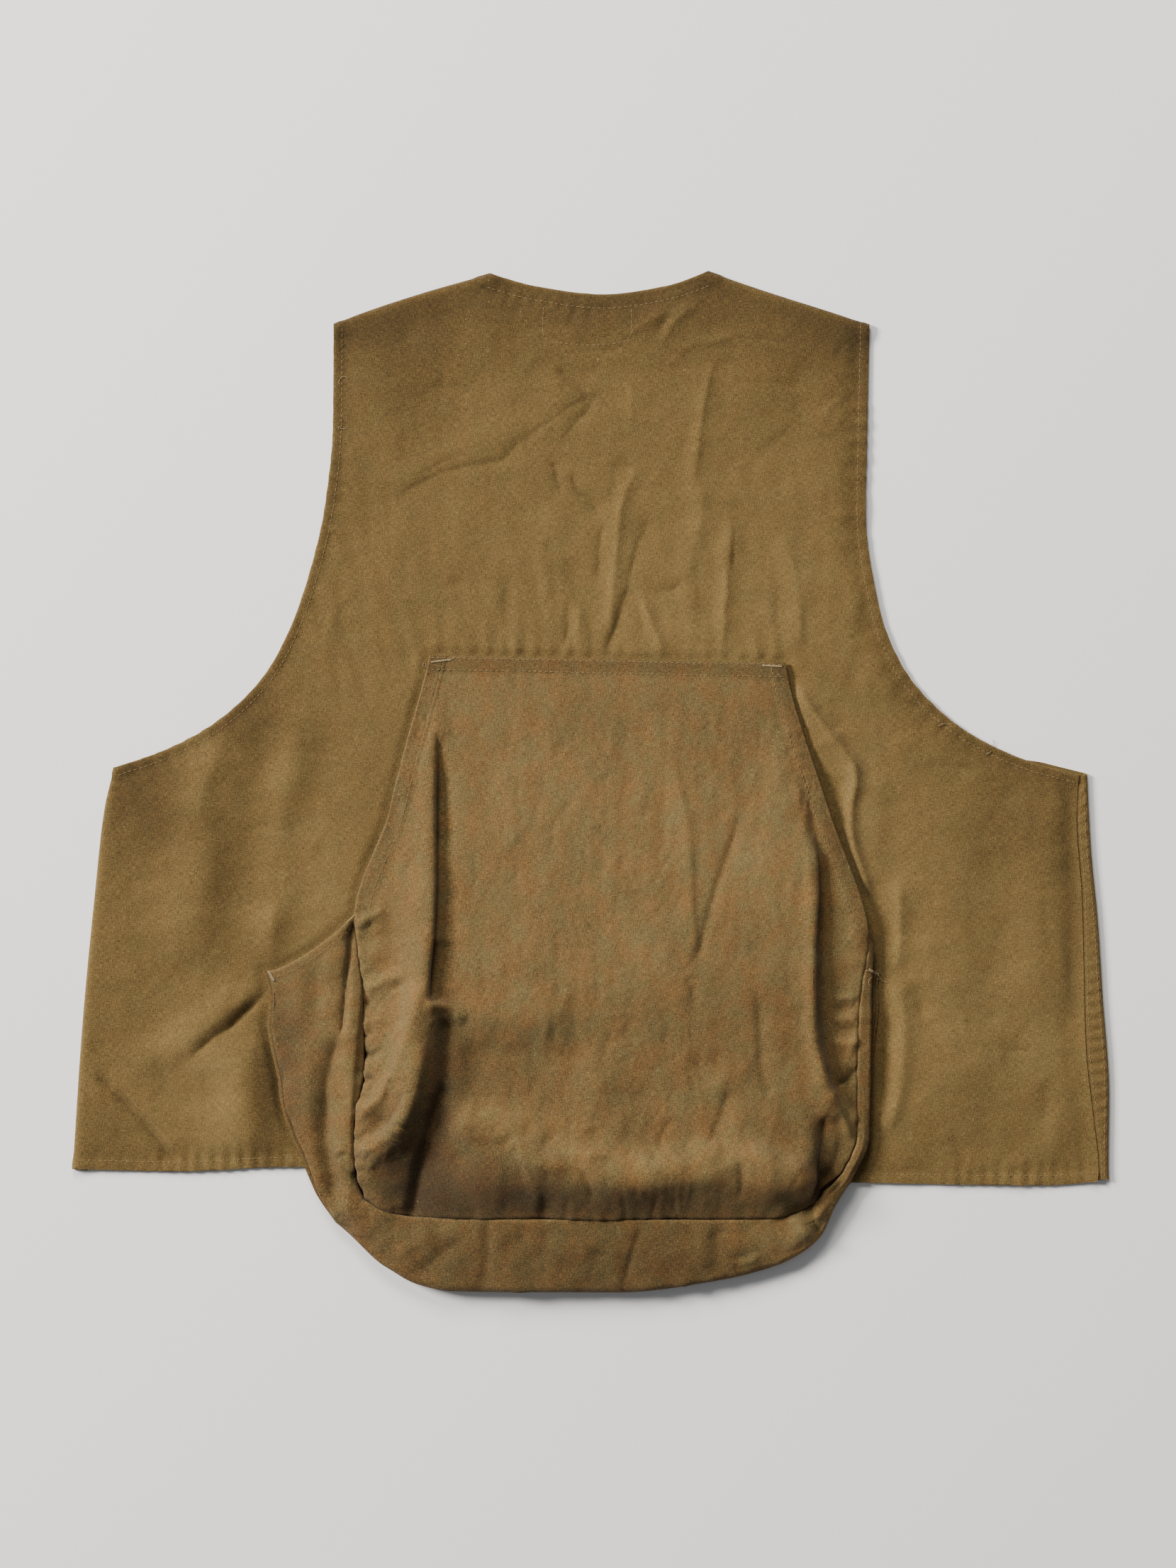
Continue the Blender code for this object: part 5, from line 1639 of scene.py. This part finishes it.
def duck(name, colours, mottle):
    """Old cotton duck: slubbed weave, pale neps, uneven fading, worn edges and crests, painted shade in the
    creases' hollows, and painted light and shade.
    """
    material, tree, shader = new_material(
        name, Roughness=0.92, Specular_IOR_Level=0.15, Sheen_Weight=0.07, Sheen_Roughness=0.6,
    )
    flat = node(tree, "ShaderNodeAttribute", {"attribute_name": "flat"}).outputs["Vector"]
    wear_and_painted_shade = node(tree, "ShaderNodeAttribute", {"attribute_name": "wear_and_painted_shade"}).outputs["Fac"]
    painted_light_and_shade = node(tree, "ShaderNodeAttribute", {"attribute_name": "painted_light_and_shade"}).outputs["Fac"]
    warp = noise(tree, scaled(tree, flat, WARP_SLUBS), 1.0, 3.0, 0.6)
    weft = noise(tree, scaled(tree, flat, WEFT_SLUBS), 1.0, 3.0, 0.6)
    grain = noise(tree, flat, GRAIN_SCALE, 4.0, 0.7)
    broad = noise(tree, flat, BROAD_SCALE)
    patchy = noise(tree, flat, PATCHY_SCALE, 3.0, 0.6)
    threads = maths(tree, "ADD", warp, weft)
    tone = 0.5
    # The tone adds the threads, grain, uneven fading, wear with painted shade in the creases' hollows, and
    # painted light and shade.
    for part, share in (
        (threads, 0.19), (grain, 0.15 + 0.1 * mottle), (broad, 0.035), (patchy, 0.03), (wear_and_painted_shade, 0.16),
        (painted_light_and_shade, 1.0),
    ):
        tone = maths(tree, "MULTIPLY_ADD", part, share, tone)
    ramp = node(tree, "ShaderNodeValToRGB", Fac=tone)
    for number, (place, colour) in enumerate(colours):
        stops = ramp.color_ramp.elements
        stop = stops[number] if number < 2 else stops.new(place)
        stop.position = place
        stop.color = (*colour, 1)
    rust = noise(tree, scaled(tree, flat, MOTTLE_SCALE), 1.0, 4.0, 0.65)
    hue = mixed(tree, maths(tree, "MULTIPLY_ADD", rust, 0.85, 0.5), OLIVE, RUST)
    colour = mixed(tree, mottle, ramp.outputs[0], hue, "MULTIPLY")
    cells = node(tree, "ShaderNodeTexVoronoi", Vector=flat, Scale=NEP_SCALE, Randomness=1.0)
    pick = node(tree, "ShaderNodeSeparateColor", Color=cells.outputs["Color"]).outputs[0]
    speck = maths(tree, "LESS_THAN", cells.outputs["Distance"], maths(tree, "MULTIPLY", pick, NEP_SIZE))
    speck = maths(tree, "MULTIPLY", speck, maths(tree, "GREATER_THAN", pick, NEP_RARITY))
    colour = mixed(tree, maths(tree, "MULTIPLY", speck, NEP_STRENGTH), colour, NEP)
    tree.links.new(colour, shader.inputs["Base Color"])
    parts = node(tree, "ShaderNodeSeparateXYZ", Vector=flat)
    over, under = (
        maths(tree, "SINE", maths(tree, "MULTIPLY", parts.outputs[axis], 2 * np.pi / WEAVE_PITCH))
        for axis in (0, 1)
    )
    weave = maths(tree, "MULTIPLY", over, under)
    height = maths(tree, "MULTIPLY", threads, 0.3)
    for part, share in ((weave, 0.3), (grain, 0.3), (speck, 0.6)):
        height = maths(tree, "MULTIPLY_ADD", part, share, height)
    bump = node(tree, "ShaderNodeBump", Strength=1.0, Distance=BUMP_DEPTH, Height=height)
    tree.links.new(bump.outputs[0], shader.inputs["Normal"])
    return material


def thread_material(name, colour):
    """Dull sewing thread, paler and darker along its length."""
    material, tree, shader = new_material(name, Roughness=0.75)
    place = node(tree, "ShaderNodeTexCoord").outputs["Object"]
    streak = noise(tree, place, 900.0, 2.0, 0.6)
    tone = maths(tree, "MULTIPLY_ADD", streak, 0.18, 0.5)
    ramp = node(tree, "ShaderNodeValToRGB", Fac=tone)
    for stop, strength in zip(ramp.color_ramp.elements, (0.62, 1.35)):
        stop.color = (*(min(1.0, strength * part) for part in colour), 1)
    tree.links.new(ramp.outputs[0], shader.inputs["Base Color"])
    return material


def build_sewing(surface, bag, bag_lines):
    """All rows of stitches, the bar tacks and the loose thread ends."""
    top_edge, mouth_left, mouth_right, gusset_mouth = bag_lines
    rows = [
        moved(outline_run(ARMHOLE_LEFT), -ARMHOLE_ROW),
        moved(outline_run(NECK), -NECK_ROW),
        moved(outline_run(ARMHOLE_RIGHT), -ARMHOLE_ROW),
        *parts_outside(grown(bag, HEM_ROW_CLEAR), moved(outline_run(HEM), -LOWER_ROW)),
        *(moved(top_edge, -row) for row in TOP_ROWS),
        moved(mouth_left, MOUTH_ROW),
        moved(mouth_right, -MOUTH_ROW),
        moved(gusset_mouth, GUSSET_ROW),
        moved(outline_run(SEAM_RIGHT), SEAM_ROWS[0])[SEAM_START:],
        moved(outline_run(FOLD_RIGHT), -FOLD_ROW)[FOLD_ROW_START:],
        curve(PATCH, EDGE_STEP),
    ]
    stitches = []
    for seed, row in enumerate(rows, STITCH_SEED):
        stitches += sewn(surface, row, seed)
    made("stitches", *joined(stitches), thread_material("Thread", THREAD_COLOUR))
    pale = []
    for seed, (start, end, width) in enumerate(TACKS, 1):
        pale += bar_tack(surface, start, end, width, seed)
    for seed, (x, y, heading, length) in enumerate(THREAD_ENDS, END_SEED):
        pale.append(loose_thread(surface, (x, y), heading, length, seed))
    made("bar_tacks_and_ends", *joined(pale), thread_material("Pale thread", PALE_THREAD_COLOUR))


def build_stage():
    """The pale floor that the vest lies on."""
    mesh = bpy.data.meshes.new("floor")
    corners = [(x * FLOOR_HALF, y * FLOOR_HALF, 0) for x, y in ((-1, -1), (1, -1), (1, 1), (-1, 1))]
    mesh.from_pydata(corners, [], [(0, 1, 2, 3)])
    floor = added("floor", mesh)
    material, _, _ = new_material("Floor", Base_Color=FLOOR_COLOUR, Roughness=0.95, Specular_IOR_Level=0.1)
    mesh.materials.append(material)


def build_lights():
    """A soft lamp from the left, a weaker and softer one from above the neck, and a pale sky."""
    world = bpy.data.worlds.new("World")
    world.use_nodes = True
    background = world.node_tree.nodes["Background"]
    background.inputs["Color"].default_value = SKY_COLOUR
    background.inputs["Strength"].default_value = WORLD_LIGHT
    bpy.context.scene.world = world
    for name, place, size, power in LAMPS:
        light = bpy.data.lights.new(name, "AREA")
        light.size = size
        light.energy = power
        light.color = LAMP_COLOUR
        lamp = added(name, light)
        lamp.location = place
        lamp.rotation_euler = (-lamp.location).to_track_quat("-Z", "Y").to_euler()


def build_camera():
    """A camera straight above the vest."""
    camera = bpy.data.cameras.new("camera")
    camera.sensor_fit = "HORIZONTAL"
    camera.sensor_width = SENSOR
    camera.lens = SENSOR * CAMERA_HEIGHT / VIEW_WIDTH
    camera.clip_end = VIEW_DEPTH
    placed = added("camera", camera)
    placed.location = (*VIEW_MIDDLE, CAMERA_HEIGHT)
    bpy.context.scene.camera = placed


build_camera()
build_lights()
build_stage()
vest_duck = duck("Vest duck", VEST_COLOURS, VEST_MOTTLE)
bag_duck = duck("Bag duck", BAG_COLOURS, BAG_MOTTLE)
build_front_left(vest_duck)
front_right = build_front_right(vest_duck)
bag_outline, bag_pieces, bag_lines = build_bag(bag_duck)
vest_back = build_back(bag_outline, bag_lines[0], vest_duck)
build_sewing(Surface([vest_back, front_right, *bag_pieces]), bag_outline, bag_lines)
